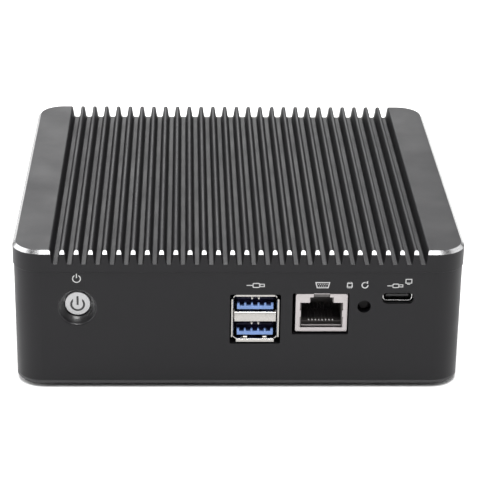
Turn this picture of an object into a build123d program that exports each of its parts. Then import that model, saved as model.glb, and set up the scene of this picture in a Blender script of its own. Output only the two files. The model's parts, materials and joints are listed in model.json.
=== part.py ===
from build123d import *
import os

# Fanless mini PC. Millimetres. X to the right seen from the front, Y to the rear, Z up.
# The origin is on the surface it stands on, under the middle of the lid.

# ---- Driving dimensions: the case ----
lid_width = 134.0
lid_depth = 126.0
lid_corner_r = 8.6
lid_thickness = 6.8
lid_chamfer = 1.0
case_height = 43.6
foot_height = 1.2
cover_thickness = 1.2
cover_edge_chamfer = 0.35
housing_inset = 0.25
wall = 2.4
seam_chamfer = 0.1

# ---- Driving dimensions: the fins ----
fin_count = 26
fin_pitch = 4.15
groove_depth = 4.2
fin_crest_width = 1.1
fin_root_width = 2.4
fin_crest_r = 0.55
groove_root_r = 0.5

# ---- Driving dimensions: the board ----
board_width = 107.0
board_depth = 119.6
board_thickness = 1.6
board_gap = 4.65

# ---- Driving dimensions: the front ports, as centre X and centre Z ----
power_button_x, power_button_z = -47.8, 26.5
usb3_x, usb3_z = 4.85, 22.7
serial_x = 24.55
reset_x, reset_z = 37.1, 26.85
usb_c_x, usb_c_z = 47.05, 29.6

# ---- Driving dimensions: the rear ports ----
lan_count = 4
lan_pitch = 15.9
lan_last_x = -46.05
usb2_x = 18.85
video_x = 34.7
hdmi_z = 28.6
displayport_z = 19.8
dc_jack_x = 48.4

# ---- Driving dimensions: how far the buttons travel ----
power_travel = 0.5
reset_travel = 0.25

# ---- Fits and small gaps ----
overrun = 1.0
screw_gap = 0.05
button_gap = 0.3
port_gap = 0.45
port_stand_out = 0.2
usb3_recess, serial_recess, usb_c_recess = 0.3, 0.85, 1.7
m3_r = 1.45
m3_head_r = 2.75
m3_head_height = 1.9
m25_r = 1.2

# ---- Levels worked out from the above ----
cover_bottom_z = foot_height
housing_bottom_z = cover_bottom_z + cover_thickness
lid_top_z = foot_height + case_height
lid_bottom_z = lid_top_z - lid_thickness
housing_height = lid_bottom_z - housing_bottom_z
housing_width = lid_width - 2 * housing_inset
housing_depth = lid_depth - 2 * housing_inset
housing_corner_r = lid_corner_r - housing_inset
front_y = -housing_depth / 2
rear_y = housing_depth / 2
front_inner_y = front_y + wall
board_top_z = lid_bottom_z - board_gap
board_bottom_z = board_top_z - board_thickness

# ---- Places of the fasteners ----
post_size = 9.4
post_sink = 0.3
post_x = housing_width / 2 - wall - post_size / 2 + post_sink
post_y = housing_depth / 2 - wall - post_size / 2 + post_sink
tab_x, tab_y = 59.6, 38.0
standoff_x, standoff_y = 50.5, 36.0
spreader_screw_x, spreader_screw_y = 20.5, 15.5
foot_x, foot_y = 46.0, 44.0
vesa_spacing = 75.0
post_points = [(sx * post_x, sy * post_y) for sx in (-1, 1) for sy in (-1, 1)]
tab_points = [(sx * tab_x, sy * tab_y) for sx in (-1, 1) for sy in (-1, 1)]
standoff_points = [(sx * standoff_x, sy * standoff_y) for sx in (-1, 1) for sy in (-1, 1)]
foot_points = [(sx * foot_x, sy * foot_y) for sx in (-1, 1) for sy in (-1, 1)]
processor_x, processor_y = 0.0, 4.0
spreader_screw_points = [
    (processor_x + sx * spreader_screw_x, processor_y + sy * spreader_screw_y)
    for sx in (-1, 1)
    for sy in (-1, 1)
]


def facing(y):
    """A plane across the case at depth y, seen from the front: local x is X and local y is Z."""
    return Plane.XZ.offset(-y)


def around(x, y, z):
    """A plane through the axis that runs along Y at x, z: local x is a radius, local y is depth."""
    return Plane(origin=(x, y, z), x_dir=(1, 0, 0), z_dir=(0, 0, 1))


def at_height(points, z):
    """The same points in plan, lifted to z."""
    return [(x, y, z) for x, y in points]


def block(x_range, y_range, z_range):
    """A plain block between two corners."""
    with BuildPart() as made:
        with BuildSketch(Plane.XY.offset(z_range[0])):
            with Locations(((x_range[0] + x_range[1]) / 2, (y_range[0] + y_range[1]) / 2)):
                Rectangle(x_range[1] - x_range[0], y_range[1] - y_range[0])
        extrude(amount=z_range[1] - z_range[0])
    return made.part


def cross_recess(half_length, width, depth):
    """The driver's cross, sunk into a screw head that lies at z = 0 and points down."""
    with BuildPart() as cross:
        with BuildSketch(Plane.XY):
            Rectangle(2 * half_length, width)
            Rectangle(width, 2 * half_length)
        extrude(amount=depth)
    return cross.part


def pan_screw(thread_r, head_r, head_height, length):
    """A pan-head screw: the head hangs below z = 0 and the thread rises from it."""
    edge = head_height * 0.4
    with BuildPart() as screw:
        with BuildSketch(Plane.XZ):
            with BuildLine():
                Line((0, -head_height), (head_r - edge, -head_height))
                RadiusArc((head_r - edge, -head_height), (head_r, -head_height + edge), -edge)
                Line((head_r, -head_height + edge), (head_r, 0))
                Line((head_r, 0), (thread_r, 0))
                Line((thread_r, 0), (thread_r, length - thread_r / 3))
                Line((thread_r, length - thread_r / 3), (thread_r * 2 / 3, length))
                Line((thread_r * 2 / 3, length), (0, length))
                Line((0, length), (0, -head_height))
            make_face()
        revolve(axis=Axis.Z)
        with Locations((0, 0, -head_height)):
            add(cross_recess(head_r * 0.6, head_r * 0.24, head_height * 0.6), mode=Mode.SUBTRACT)
    return screw.part


def countersunk_screw(thread_r, head_r, length):
    """A flat-head screw: its face is at z = 0 and its thread points up."""
    rim = 0.2
    with BuildPart() as screw:
        with BuildSketch(Plane.XZ):
            with BuildLine():
                Polyline(
                    (0, 0),
                    (head_r, 0),
                    (head_r, rim),
                    (thread_r, rim + head_r - thread_r),
                    (thread_r, length - thread_r / 3),
                    (thread_r * 2 / 3, length),
                    (0, length),
                    close=True,
                )
            make_face()
        revolve(axis=Axis.Z)
        add(cross_recess(head_r * 0.6, head_r * 0.22, head_r * 0.4), mode=Mode.SUBTRACT)
    return screw.part


def countersunk_hole(thread_r, head_r, depth):
    """The space that a flat-head screw takes, with its mouth at z = 0."""
    gap = screw_gap
    with BuildPart() as hole:
        with BuildSketch(Plane.XZ):
            with BuildLine():
                Polyline(
                    (0, -overrun),
                    (head_r + gap, -overrun),
                    (head_r + gap, 0.2 + gap),
                    (thread_r + gap, 0.2 + gap + head_r - thread_r),
                    (thread_r + gap, depth),
                    (0, depth),
                    close=True,
                )
            make_face()
        revolve(axis=Axis.Z)
    return hole.part


# ======================= Casing =======================

# ---- Heatsink lid: one aluminium extrusion, finned from front to rear ----
groove_top_half = (fin_pitch - fin_crest_width) / 2
groove_root_half = (fin_pitch - fin_root_width) / 2
groove_flare_half = groove_top_half + 1.4 * fin_crest_r
groove_xs = [fin_pitch * (i - fin_count / 2) for i in range(fin_count + 1)]
lid_screw_depth = 4.2
web_screw_depth = 2.0

with BuildSketch() as groove_profile:
    with BuildLine():
        Polyline(
            (-groove_root_half, -groove_depth),
            (groove_root_half, -groove_depth),
            (groove_top_half, 0),
            (groove_flare_half, 0),
            (groove_flare_half, overrun),
            (-groove_flare_half, overrun),
            (-groove_flare_half, 0),
            (-groove_top_half, 0),
            close=True,
        )
    make_face()
    fillet(groove_profile.vertices().group_by(Axis.Y)[0], groove_root_r)
    fillet(groove_profile.vertices().group_by(Axis.Y)[-2].sort_by(Axis.X)[1:3], fin_crest_r)

with BuildPart() as heatsink_lid:
    with BuildSketch(Plane.XY.offset(lid_bottom_z)):
        RectangleRounded(lid_width, lid_depth, lid_corner_r)
    extrude(amount=lid_thickness)
    chamfer(heatsink_lid.faces().sort_by(Axis.Z)[-1].edges(), lid_chamfer)
    chamfer(heatsink_lid.faces().sort_by(Axis.Z)[0].edges(), seam_chamfer)
    with BuildSketch(facing(lid_depth / 2 + overrun)):
        with Locations(*[(x, lid_top_z) for x in groove_xs]):
            add(groove_profile.sketch)
    extrude(amount=lid_depth + 2 * overrun, mode=Mode.SUBTRACT)
    with BuildSketch(Plane.XY.offset(lid_bottom_z)):
        with Locations(*tab_points):
            Circle(m3_r + screw_gap)
    extrude(amount=lid_screw_depth, mode=Mode.SUBTRACT)
    with BuildSketch(Plane.XY.offset(lid_bottom_z)):
        with Locations(*standoff_points, *spreader_screw_points):
            Circle(m25_r + screw_gap)
    extrude(amount=web_screw_depth, mode=Mode.SUBTRACT)
heatsink_lid.part.label = "heatsink_lid"
export_step(heatsink_lid.part, "parts/heatsink_lid.step")

# ---- Power button's place: a dish in the front wall, and the bore that the cap slides in ----
cap_r = 3.9
cap_recess = 2.8
dish_r = 5.5
dish_lip_r = 0.5
boss_r = 7.0
boss_back_y = front_y + cap_recess + 2.2
bore_r = cap_r + button_gap
dish_bulge_r, dish_bulge_depth = 5.0, 1.75

# ---- Sizes of the sockets' faces, which the cut-outs follow ----
usb_width, usb_height = 14.5, 15.6
jack_width, jack_height = 15.5, 12.45
jack_bottom_z = 18.2
jack_z = jack_bottom_z + jack_height / 2
usb_c_width, usb_c_height, usb_c_corner_r = 8.94, 3.16, 1.3
reset_hole_r = 2.0
dc_width, dc_height, dc_depth = 9.0, 11.0, 13.5
dc_z = board_bottom_z - dc_height / 2
hdmi_width, hdmi_height = 14.9, 5.45
displayport_width, displayport_height = 16.1, 5.5
usb2_z = usb3_z
lan_xs = [lan_last_x + lan_pitch * i for i in range(lan_count)]
lan_mid_x = (lan_xs[0] + lan_xs[-1]) / 2
cutout_corner_r = 0.5
usb3_gap, usb_c_gap = 0.3, 0.2
serial_cutout_width, serial_cutout_height = 16.8, 13.5
serial_cutout_shift = 0.33

# ---- Main housing: the walls, with the ports' cut-outs, corner posts and the lid's screw tabs ----
tab_width, tab_length, tab_thickness = 10.0, 9.0, 3.0
post_hole_depth = 10.0
cover_screw_head_r = 2.9
cover_screw_length = 9.0

with BuildPart() as main_housing:
    with BuildSketch(Plane.XY.offset(housing_bottom_z)):
        RectangleRounded(housing_width, housing_depth, housing_corner_r)
        RectangleRounded(
            housing_width - 2 * wall,
            housing_depth - 2 * wall,
            housing_corner_r - wall,
            mode=Mode.SUBTRACT,
        )
    extrude(amount=housing_height)
    with BuildSketch(Plane.XY.offset(housing_bottom_z)):
        with Locations(*post_points):
            Rectangle(post_size, post_size)
        RectangleRounded(
            housing_width - wall,
            housing_depth - wall,
            housing_corner_r - wall / 2,
            mode=Mode.INTERSECT,
        )
    extrude(amount=housing_height)
    with BuildSketch(Plane.XY.offset(lid_bottom_z - tab_thickness)):
        with Locations(*tab_points):
            Rectangle(tab_width, tab_length)
    extrude(amount=tab_thickness)
    with BuildSketch(facing(boss_back_y)):
        with Locations((power_button_x, power_button_z)):
            Circle(boss_r)
    extrude(amount=boss_back_y - front_inner_y + wall / 2)
    with BuildSketch(around(power_button_x, front_y, power_button_z)):
        with BuildLine():
            Line((0, -overrun), (dish_r, -overrun))
            Line((dish_r, -overrun), (dish_r, 0))
            ThreePointArc((dish_r, 0), (dish_bulge_r, dish_bulge_depth), (bore_r, cap_recess))
            Line((bore_r, cap_recess), (bore_r, cap_recess + 2 * wall))
            Line((bore_r, cap_recess + 2 * wall), (0, cap_recess + 2 * wall))
            Line((0, cap_recess + 2 * wall), (0, -overrun))
        make_face()
    revolve(axis=Axis((power_button_x, 0, power_button_z), (0, 1, 0)), mode=Mode.SUBTRACT)
    with BuildSketch(facing(front_y + wall / 2)):
        with Locations((usb3_x, usb3_z)):
            RectangleRounded(usb_width + 2 * usb3_gap, usb_height + 2 * usb3_gap, cutout_corner_r)
        with Locations((serial_x - serial_cutout_shift, jack_z)):
            RectangleRounded(serial_cutout_width, serial_cutout_height, cutout_corner_r)
        with Locations((reset_x, reset_z)):
            Circle(reset_hole_r)
        with Locations((usb_c_x, usb_c_z)):
            RectangleRounded(
                usb_c_width + 2 * usb_c_gap,
                usb_c_height + 2 * usb_c_gap,
                usb_c_corner_r + usb_c_gap,
            )
    extrude(amount=wall, both=True, mode=Mode.SUBTRACT)
    with BuildSketch(facing(rear_y - wall / 2)):
        with Locations((usb2_x, usb2_z)):
            RectangleRounded(usb_width + 2 * port_gap, usb_height + 2 * port_gap, cutout_corner_r)
        with Locations((lan_mid_x, jack_z)):
            RectangleRounded(
                lan_pitch * (lan_count - 1) + jack_width + 2 * port_gap,
                jack_height + 2 * port_gap,
                cutout_corner_r,
            )
        with Locations((video_x, hdmi_z)):
            RectangleRounded(hdmi_width + 2 * port_gap, hdmi_height + 2 * port_gap, cutout_corner_r)
        with Locations((video_x, displayport_z)):
            RectangleRounded(
                displayport_width + 2 * port_gap,
                displayport_height + 2 * port_gap,
                cutout_corner_r,
            )
        with Locations((dc_jack_x, dc_z)):
            RectangleRounded(dc_width + port_gap, dc_height + port_gap, cutout_corner_r)
    extrude(amount=wall, both=True, mode=Mode.SUBTRACT)
    with Locations(*at_height(post_points, cover_bottom_z)):
        add(countersunk_hole(m3_r, cover_screw_head_r, post_hole_depth), mode=Mode.SUBTRACT)
    with BuildSketch(Plane.XY.offset(lid_bottom_z)):
        with Locations(*tab_points):
            Circle(m3_r + 2 * screw_gap)
    extrude(amount=-tab_thickness, mode=Mode.SUBTRACT)
    dish_rim = main_housing.edges().filter_by(GeomType.CIRCLE).filter_by(
        lambda edge: abs(edge.radius - dish_r) < screw_gap
    )
    fillet(dish_rim, dish_lip_r)
main_housing.part.label = "main_housing"
export_step(main_housing.part, "parts/main_housing.step")

# ---- Bottom cover: a thin plate with locating bars and four threaded bosses for a wall bracket ----
vesa_boss_r = 4.0
vesa_boss_height = 4.0
vesa_hole_r = 1.65
bar_height = 1.2
bar_width = 1.2
bar_gap = 0.2
bar_x = housing_width / 2 - wall - bar_gap - bar_width / 2
bar_y = housing_depth / 2 - wall - bar_gap - bar_width / 2
bar_length_x = 2 * (post_x - post_size / 2) - 4.0
bar_length_y = 2 * (post_y - post_size / 2) - 4.0

with BuildPart() as bottom_cover:
    with BuildSketch(Plane.XY.offset(cover_bottom_z)):
        RectangleRounded(housing_width, housing_depth, housing_corner_r)
    extrude(amount=cover_thickness)
    chamfer(bottom_cover.faces().sort_by(Axis.Z)[0].edges(), cover_edge_chamfer)
    chamfer(bottom_cover.faces().sort_by(Axis.Z)[-1].edges(), seam_chamfer)
    with BuildSketch(Plane.XY.offset(housing_bottom_z)):
        with Locations((-bar_x, 0), (bar_x, 0)):
            Rectangle(bar_width, bar_length_y)
        with Locations((0, -bar_y), (0, bar_y)):
            Rectangle(bar_length_x, bar_width)
    extrude(amount=bar_height)
    with BuildSketch(Plane.XY.offset(housing_bottom_z)):
        with GridLocations(vesa_spacing, vesa_spacing, 2, 2):
            Circle(vesa_boss_r)
    extrude(amount=vesa_boss_height)
    with BuildSketch(Plane.XY.offset(cover_bottom_z)):
        with GridLocations(vesa_spacing, vesa_spacing, 2, 2):
            Circle(vesa_hole_r)
    extrude(amount=cover_thickness + vesa_boss_height, mode=Mode.SUBTRACT)
    with Locations(*at_height(post_points, cover_bottom_z)):
        add(countersunk_hole(m3_r, cover_screw_head_r, 2 * wall), mode=Mode.SUBTRACT)
bottom_cover.part.label = "bottom_cover"
export_step(bottom_cover.part, "parts/bottom_cover.step")

# ---- Screws that hold the bottom cover to the corner posts ----
cover_head_sink = 0.05
with BuildPart() as bottom_cover_screws:
    with Locations(*at_height(post_points, cover_bottom_z + cover_head_sink)):
        add(countersunk_screw(m3_r, cover_screw_head_r, cover_screw_length))
bottom_cover_screws.part.label = "bottom_cover_screws"
export_step(bottom_cover_screws.part, "parts/bottom_cover_screws.step")

# ---- Rubber feet: four round pads under the cover ----
foot_r = 5.5
foot_edge_r = 0.4
with BuildPart() as rubber_feet:
    with BuildSketch(Plane.XY):
        with Locations(*foot_points):
            Circle(foot_r)
    extrude(amount=foot_height)
    fillet(rubber_feet.edges().group_by(Axis.Z)[0], foot_edge_r)
rubber_feet.part.label = "rubber_feet"
export_step(rubber_feet.part, "parts/rubber_feet.step")

# ---- Screws that hold the lid, from inside, through the housing's tabs ----
lid_screw_length = tab_thickness + lid_screw_depth - 0.4
with BuildPart() as lid_screws:
    with Locations(*at_height(tab_points, lid_bottom_z - tab_thickness)):
        add(pan_screw(m3_r, m3_head_r, m3_head_height, lid_screw_length))
lid_screws.part.label = "lid_screws"
export_step(lid_screws.part, "parts/lid_screws.step")

# ======================= Power button =======================

# ---- Power button: a metal cap with a retaining flange and a stem, and an engraved symbol ----
cap_edge_chamfer = 0.25
flange_r = 5.0
flange_thickness = 0.8
flange_y = boss_back_y + button_gap
stem_r = 1.4
stem_length = 2.4
cap_front_y = front_y + cap_recess
stem_end_y = flange_y + flange_thickness + stem_length
symbol_stroke = 0.62
symbol_r = 1.9
symbol_drop = 0.25
symbol_gap_angle = 84
symbol_bar_low, symbol_bar_high = -0.5, 2.4
symbol_depth = 0.15

with BuildPart() as power_button:
    with BuildSketch(around(power_button_x, cap_front_y, power_button_z)):
        with BuildLine():
            Polyline(
                (0, 0),
                (cap_r - cap_edge_chamfer, 0),
                (cap_r, cap_edge_chamfer),
                (cap_r, flange_y - cap_front_y),
                (flange_r, flange_y - cap_front_y),
                (flange_r, flange_y - cap_front_y + flange_thickness),
                (stem_r, flange_y - cap_front_y + flange_thickness),
                (stem_r, stem_end_y - cap_front_y),
                (0, stem_end_y - cap_front_y),
                close=True,
            )
        make_face()
    revolve(axis=Axis((power_button_x, 0, power_button_z), (0, 1, 0)))
    with BuildSketch(facing(cap_front_y)):
        with Locations((power_button_x, power_button_z - symbol_drop)):
            Circle(symbol_r + symbol_stroke / 2)
            Circle(symbol_r - symbol_stroke / 2, mode=Mode.SUBTRACT)
            with Locations((0, symbol_r)):
                Rectangle(2 * symbol_r * symbol_gap_angle / 120, 1.25 * symbol_r, mode=Mode.SUBTRACT)
        with Locations((power_button_x, power_button_z + (symbol_bar_low + symbol_bar_high) / 2)):
            Rectangle(symbol_stroke, symbol_bar_high - symbol_bar_low)
    extrude(amount=-symbol_depth, mode=Mode.SUBTRACT)
power_button.part.label = "power_button"
export_step(power_button.part, "parts/power_button.step")

# ---- Power switch: a side-acting tactile switch that hangs from the board ----
plunger_r = 1.2
plunger_in = 1.2
plunger_out = 0.9
switch_half_width = 3.5
switch_below = 3.3
switch_depth = 4.6
switch_front_y = stem_end_y + plunger_out
plunger_bore_depth = plunger_in + power_travel + button_gap

with BuildPart() as power_switch_plunger:
    with BuildSketch(facing(stem_end_y)):
        with Locations((power_button_x, power_button_z)):
            Circle(plunger_r)
    extrude(amount=-(plunger_out + plunger_in))
power_switch_plunger.part.label = "power_switch_plunger"
export_step(power_switch_plunger.part, "parts/power_switch_plunger.step")

with BuildPart() as power_switch_body:
    add(
        block(
            (power_button_x - switch_half_width, power_button_x + switch_half_width),
            (switch_front_y, switch_front_y + switch_depth),
            (power_button_z - switch_below, board_bottom_z),
        )
    )
    with BuildSketch(facing(switch_front_y)):
        with Locations((power_button_x, power_button_z)):
            Circle(plunger_r + button_gap)
    extrude(amount=-plunger_bore_depth, mode=Mode.SUBTRACT)
power_switch_body.part.label = "power_switch_body"
export_step(power_switch_body.part, "parts/power_switch_body.step")

# ======================= Reset button =======================

# ---- Reset button: a small plunger behind a round hole in the front wall ----
reset_r = 1.6
reset_recess = 2.0
reset_in = 1.2
reset_front_y = front_y + reset_recess
reset_switch_front_y = front_inner_y + 0.6
reset_switch_half_width = 3.0
reset_switch_below = 3.0
reset_switch_depth = 3.6

with BuildPart() as reset_button:
    with BuildSketch(facing(reset_front_y)):
        with Locations((reset_x, reset_z)):
            Circle(reset_r)
    extrude(amount=-(reset_switch_front_y + reset_in - reset_front_y))
    chamfer(reset_button.faces().sort_by(Axis.Y)[0].edges(), cap_edge_chamfer)
reset_button.part.label = "reset_button"
export_step(reset_button.part, "parts/reset_button.step")

with BuildPart() as reset_switch_body:
    add(
        block(
            (reset_x - reset_switch_half_width, reset_x + reset_switch_half_width),
            (reset_switch_front_y, reset_switch_front_y + reset_switch_depth),
            (reset_z - reset_switch_below, board_bottom_z),
        )
    )
    with BuildSketch(facing(reset_switch_front_y)):
        with Locations((reset_x, reset_z)):
            Circle(reset_r + button_gap)
    extrude(amount=-(reset_in + reset_travel + button_gap), mode=Mode.SUBTRACT)
reset_switch_body.part.label = "reset_switch_body"
export_step(reset_switch_body.part, "parts/reset_switch_body.step")

# ======================= Sockets that repeat =======================
# Each is built around its mouth. "inward" is +1 on the front wall and -1 on the rear wall.

usb_depth = 17.5
usb_sheet = 0.4
usb_lip = 0.4
usb_lip_depth = 1.0
usb_lip_corner = 1.2
usb_slot_width = 12.9
usb_slot_height = 5.1
usb_upper_slot = 2.45
usb_slot_step = 8.45
usb_tongue_width = 11.1
usb_tongue_thickness = 1.84
usb_tongue_recess = 0.9
usb_tongue_drop = 1.35
usb_core_depth = 9.0
usb_contact_thickness = 0.2


def slot_middles(z_mid):
    """The heights of the middles of a stacked USB socket's two slots."""
    upper = z_mid + usb_height / 2 - usb_lip - usb_sheet + 0.1 - usb_upper_slot
    return [upper, upper - usb_slot_step]


def usb_shell(x, mouth_y, inward, z_mid):
    """The metal shell of two stacked USB-A sockets, with a lip bent out along each side."""
    with BuildPart() as shell:
        with BuildSketch(facing(mouth_y)):
            with Locations((x, z_mid)):
                RectangleRounded(usb_width - 2 * usb_lip, usb_height - 2 * usb_lip, 2 * usb_sheet)
        extrude(amount=-inward * usb_depth)
        with BuildSketch(facing(mouth_y)):
            with Locations((x, z_mid)):
                Rectangle(usb_width, usb_height - 2 * usb_lip_corner)
                Rectangle(usb_width - 2 * usb_lip_corner, usb_height)
        extrude(amount=-inward * usb_lip_depth)
        with BuildSketch(facing(mouth_y)):
            for z in slot_middles(z_mid):
                with Locations((x, z)):
                    Rectangle(usb_slot_width, usb_slot_height)
        extrude(amount=-inward * usb_depth, mode=Mode.SUBTRACT)
    return shell.part


def usb_insulator(x, mouth_y, inward, z_mid, notch_width, notch_count):
    """The plastic core: a tongue in each slot, on a body that fills the slots' rear and meets the board."""
    tongue_length = usb_depth - usb_core_depth - usb_tongue_recess
    tongue_y = mouth_y + inward * usb_tongue_recess
    core_y = mouth_y + inward * (usb_depth - usb_core_depth)
    back_y = mouth_y + inward * usb_depth
    notch_pitch = usb_tongue_width / (notch_count + 0.5)
    with BuildPart() as insulator:
        with BuildSketch(facing(core_y)):
            for z in slot_middles(z_mid):
                with Locations((x, z)):
                    Rectangle(usb_slot_width, usb_slot_height)
        extrude(amount=-inward * usb_core_depth)
        with BuildSketch(facing(tongue_y)):
            for z in slot_middles(z_mid):
                with Locations((x, z - usb_tongue_drop)):
                    Rectangle(usb_tongue_width, usb_tongue_thickness)
        extrude(amount=-inward * (tongue_length + 1))
        with BuildSketch(facing(tongue_y)):
            for z in slot_middles(z_mid):
                with Locations((x, z - usb_tongue_drop + usb_tongue_thickness / 2)):
                    with GridLocations(notch_pitch, 1, notch_count, 1):
                        Rectangle(notch_width, usb_tongue_thickness * 0.6)
        extrude(amount=-inward * 1.4, mode=Mode.SUBTRACT)
        with BuildSketch(facing(back_y)):
            with Locations((x, (z_mid - usb_height / 2 + board_bottom_z) / 2)):
                Rectangle(usb_width - 2 * usb_lip, board_bottom_z - z_mid + usb_height / 2)
        extrude(amount=-inward * 1.5)
    return insulator.part


def usb_contacts(x, mouth_y, inward, z_mid, offsets, width, length):
    """The contact strips that lie on the upper face of each tongue."""
    start_y = mouth_y + inward * (usb_tongue_recess + 1.8)
    with BuildPart() as contacts:
        with BuildSketch(facing(start_y)):
            for z in slot_middles(z_mid):
                top = z - usb_tongue_drop + usb_tongue_thickness / 2
                with Locations(*[(x + dx, top + usb_contact_thickness / 2) for dx in offsets]):
                    Rectangle(width, usb_contact_thickness)
        extrude(amount=-inward * length)
    return contacts.part


jack_sheet = 0.3
jack_face = 0.5
jack_floor = 1.4
jack_window_width, jack_window_height = 12.7, 8.1
jack_step1_width, jack_step1_height = 7.1, 1.75
jack_step2_width, jack_step2_height = 4.8, 1.4
jack_cavity_width, jack_cavity_depth = 12.0, 12.5
jack_key_width = 6.4
jack_ledge_height, jack_ledge_front, jack_ledge_depth = 1.1, 2.0, 2.5
jack_lip_height, jack_lip_depth = 0.8, 1.25
contact_pitch = 1.02
contact_count = 8
contact_size = 0.35
contact_rise = 1.15
led_width, led_height, led_x, led_depth = 2.9, 1.7, 5.6, 2.5
led_z = jack_height - 0.75 - led_height / 2


def jack_shield(x, mouth_y, inward, depth, with_leds):
    """The metal shield of an RJ45 socket. Its window has the two steps of the plug's latch."""
    window_z = jack_bottom_z + jack_floor
    step_z = window_z + jack_window_height
    with BuildPart() as shield:
        with BuildSketch(facing(mouth_y)):
            with Locations((x, jack_z)):
                RectangleRounded(jack_width, jack_height, jack_sheet)
        extrude(amount=-inward * depth)
        with BuildSketch(facing(mouth_y + inward * jack_face)):
            with Locations((x, jack_z)):
                Rectangle(jack_width - 2 * jack_sheet, jack_height - 2 * jack_sheet)
        extrude(amount=-inward * depth, mode=Mode.SUBTRACT)
        with BuildSketch(facing(mouth_y)):
            with Locations((x, window_z + jack_window_height / 2)):
                Rectangle(jack_window_width, jack_window_height)
            with Locations((x, step_z + jack_step1_height / 2)):
                Rectangle(jack_step1_width, jack_step1_height)
            with Locations((x, step_z + jack_step1_height)):
                Rectangle(jack_step2_width, 2 * jack_step2_height)
            if with_leds:
                with Locations((x - led_x, jack_bottom_z + led_z), (x + led_x, jack_bottom_z + led_z)):
                    Rectangle(led_width, led_height)
        extrude(amount=-inward * jack_face, mode=Mode.SUBTRACT)
        lip_z = window_z + (jack_lip_height - jack_sheet) / 2
        with BuildSketch(facing(mouth_y + inward * jack_face / 2)):
            with Locations((x, lip_z)):
                Rectangle(jack_cavity_width, jack_lip_height + jack_sheet)
        extrude(amount=-inward * jack_lip_depth)
    return shield.part


def jack_insert(x, mouth_y, inward, depth, with_leds):
    """The plastic core of an RJ45 socket, up to the board, with the plug's cavity and a contact ledge."""
    floor_z = jack_bottom_z + jack_floor
    roof_z = floor_z + jack_window_height
    front = mouth_y + inward * jack_face
    with BuildPart() as insert:
        with BuildSketch(facing(front)):
            with Locations((x, jack_z)):
                Rectangle(jack_width - 2 * jack_sheet, jack_height - 2 * jack_sheet)
        extrude(amount=-inward * (depth - jack_face))
        with BuildSketch(facing(front)):
            with Locations((x, (floor_z + roof_z) / 2)):
                Rectangle(jack_cavity_width, jack_window_height)
            with Locations((x, roof_z + jack_step1_height / 2)):
                Rectangle(jack_key_width, jack_step1_height)
        extrude(amount=-inward * jack_cavity_depth, mode=Mode.SUBTRACT)
        lip_bottom_z = floor_z - jack_sheet
        with BuildSketch(facing(front)):
            with Locations((x, lip_bottom_z + jack_lip_height / 2)):
                Rectangle(jack_cavity_width, jack_lip_height)
        extrude(amount=-inward * (jack_lip_depth - jack_face / 2), mode=Mode.SUBTRACT)
        with BuildSketch(facing(front + inward * jack_ledge_front)):
            with Locations((x, floor_z + jack_ledge_height / 2)):
                Rectangle(jack_cavity_width, jack_ledge_height)
        extrude(amount=-inward * jack_ledge_depth)
        if with_leds:
            with BuildSketch(facing(front)):
                with Locations((x - led_x, jack_bottom_z + led_z), (x + led_x, jack_bottom_z + led_z)):
                    Rectangle(led_width, led_height)
            extrude(amount=-inward * (led_depth - jack_face), mode=Mode.SUBTRACT)
        with BuildSketch(facing(mouth_y + inward * depth)):
            with Locations((x, (jack_bottom_z + jack_sheet + board_bottom_z) / 2)):
                Rectangle(jack_width - 2 * jack_sheet, board_bottom_z - jack_bottom_z - jack_sheet)
        extrude(amount=-inward * 1.2)
    return insert.part


def jack_contacts(xs, mouth_y, inward):
    """Eight sprung wires in each RJ45 socket, which lie on the ledge and rise towards the rear."""
    ledge_y = mouth_y + inward * (jack_face + jack_ledge_front)
    bend_y = ledge_y + inward * jack_ledge_depth
    tip_y = mouth_y + inward * (jack_face + jack_cavity_depth - 1.5)
    low_z = jack_bottom_z + jack_floor + jack_ledge_height
    high_z = low_z + contact_rise
    half_row = contact_pitch * (contact_count - 1) / 2
    with BuildPart() as contacts:
        for x in xs:
            for i in range(contact_count):
                side = x - half_row + contact_pitch * i - contact_size / 2
                with BuildSketch(Plane.YZ.offset(side)):
                    with BuildLine():
                        Polyline(
                            (ledge_y, low_z),
                            (bend_y, low_z),
                            (tip_y, high_z),
                            (tip_y, high_z + contact_size),
                            (bend_y, low_z + contact_size),
                            (ledge_y, low_z + contact_size),
                            close=True,
                        )
                    make_face()
                extrude(amount=contact_size)
    return contacts.part


# ======================= Front ports =======================
usb3_mouth_y = front_y + usb3_recess
serial_mouth_y = front_y + serial_recess
usb_c_mouth_y = front_y + usb_c_recess

# ---- Two stacked USB 3 sockets ----
usb3_notch_count = 5
usb3_notch_width = 1.3
usb3_contact_offsets = [-3.5, -1.0, 1.0, 3.5]

with BuildPart() as usb3_shell:
    add(usb_shell(usb3_x, usb3_mouth_y, 1, usb3_z))
usb3_shell.part.label = "usb3_shell"
export_step(usb3_shell.part, "parts/usb3_shell.step")

with BuildPart() as usb3_insulator:
    add(usb_insulator(usb3_x, usb3_mouth_y, 1, usb3_z, usb3_notch_width, usb3_notch_count))
usb3_insulator.part.label = "usb3_insulator"
export_step(usb3_insulator.part, "parts/usb3_insulator.step")

with BuildPart() as usb3_contacts:
    add(usb_contacts(usb3_x, usb3_mouth_y, 1, usb3_z, usb3_contact_offsets, 1.0, 5.2))
usb3_contacts.part.label = "usb3_contacts"
export_step(usb3_contacts.part, "parts/usb3_contacts.step")

# ---- Serial port: an RJ45 socket ----
serial_depth = 16.0

with BuildPart() as serial_jack_shield:
    add(jack_shield(serial_x, serial_mouth_y, 1, serial_depth, False))
serial_jack_shield.part.label = "serial_jack_shield"
export_step(serial_jack_shield.part, "parts/serial_jack_shield.step")

with BuildPart() as serial_jack_insert:
    add(jack_insert(serial_x, serial_mouth_y, 1, serial_depth, False))
serial_jack_insert.part.label = "serial_jack_insert"
export_step(serial_jack_insert.part, "parts/serial_jack_insert.step")

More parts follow.
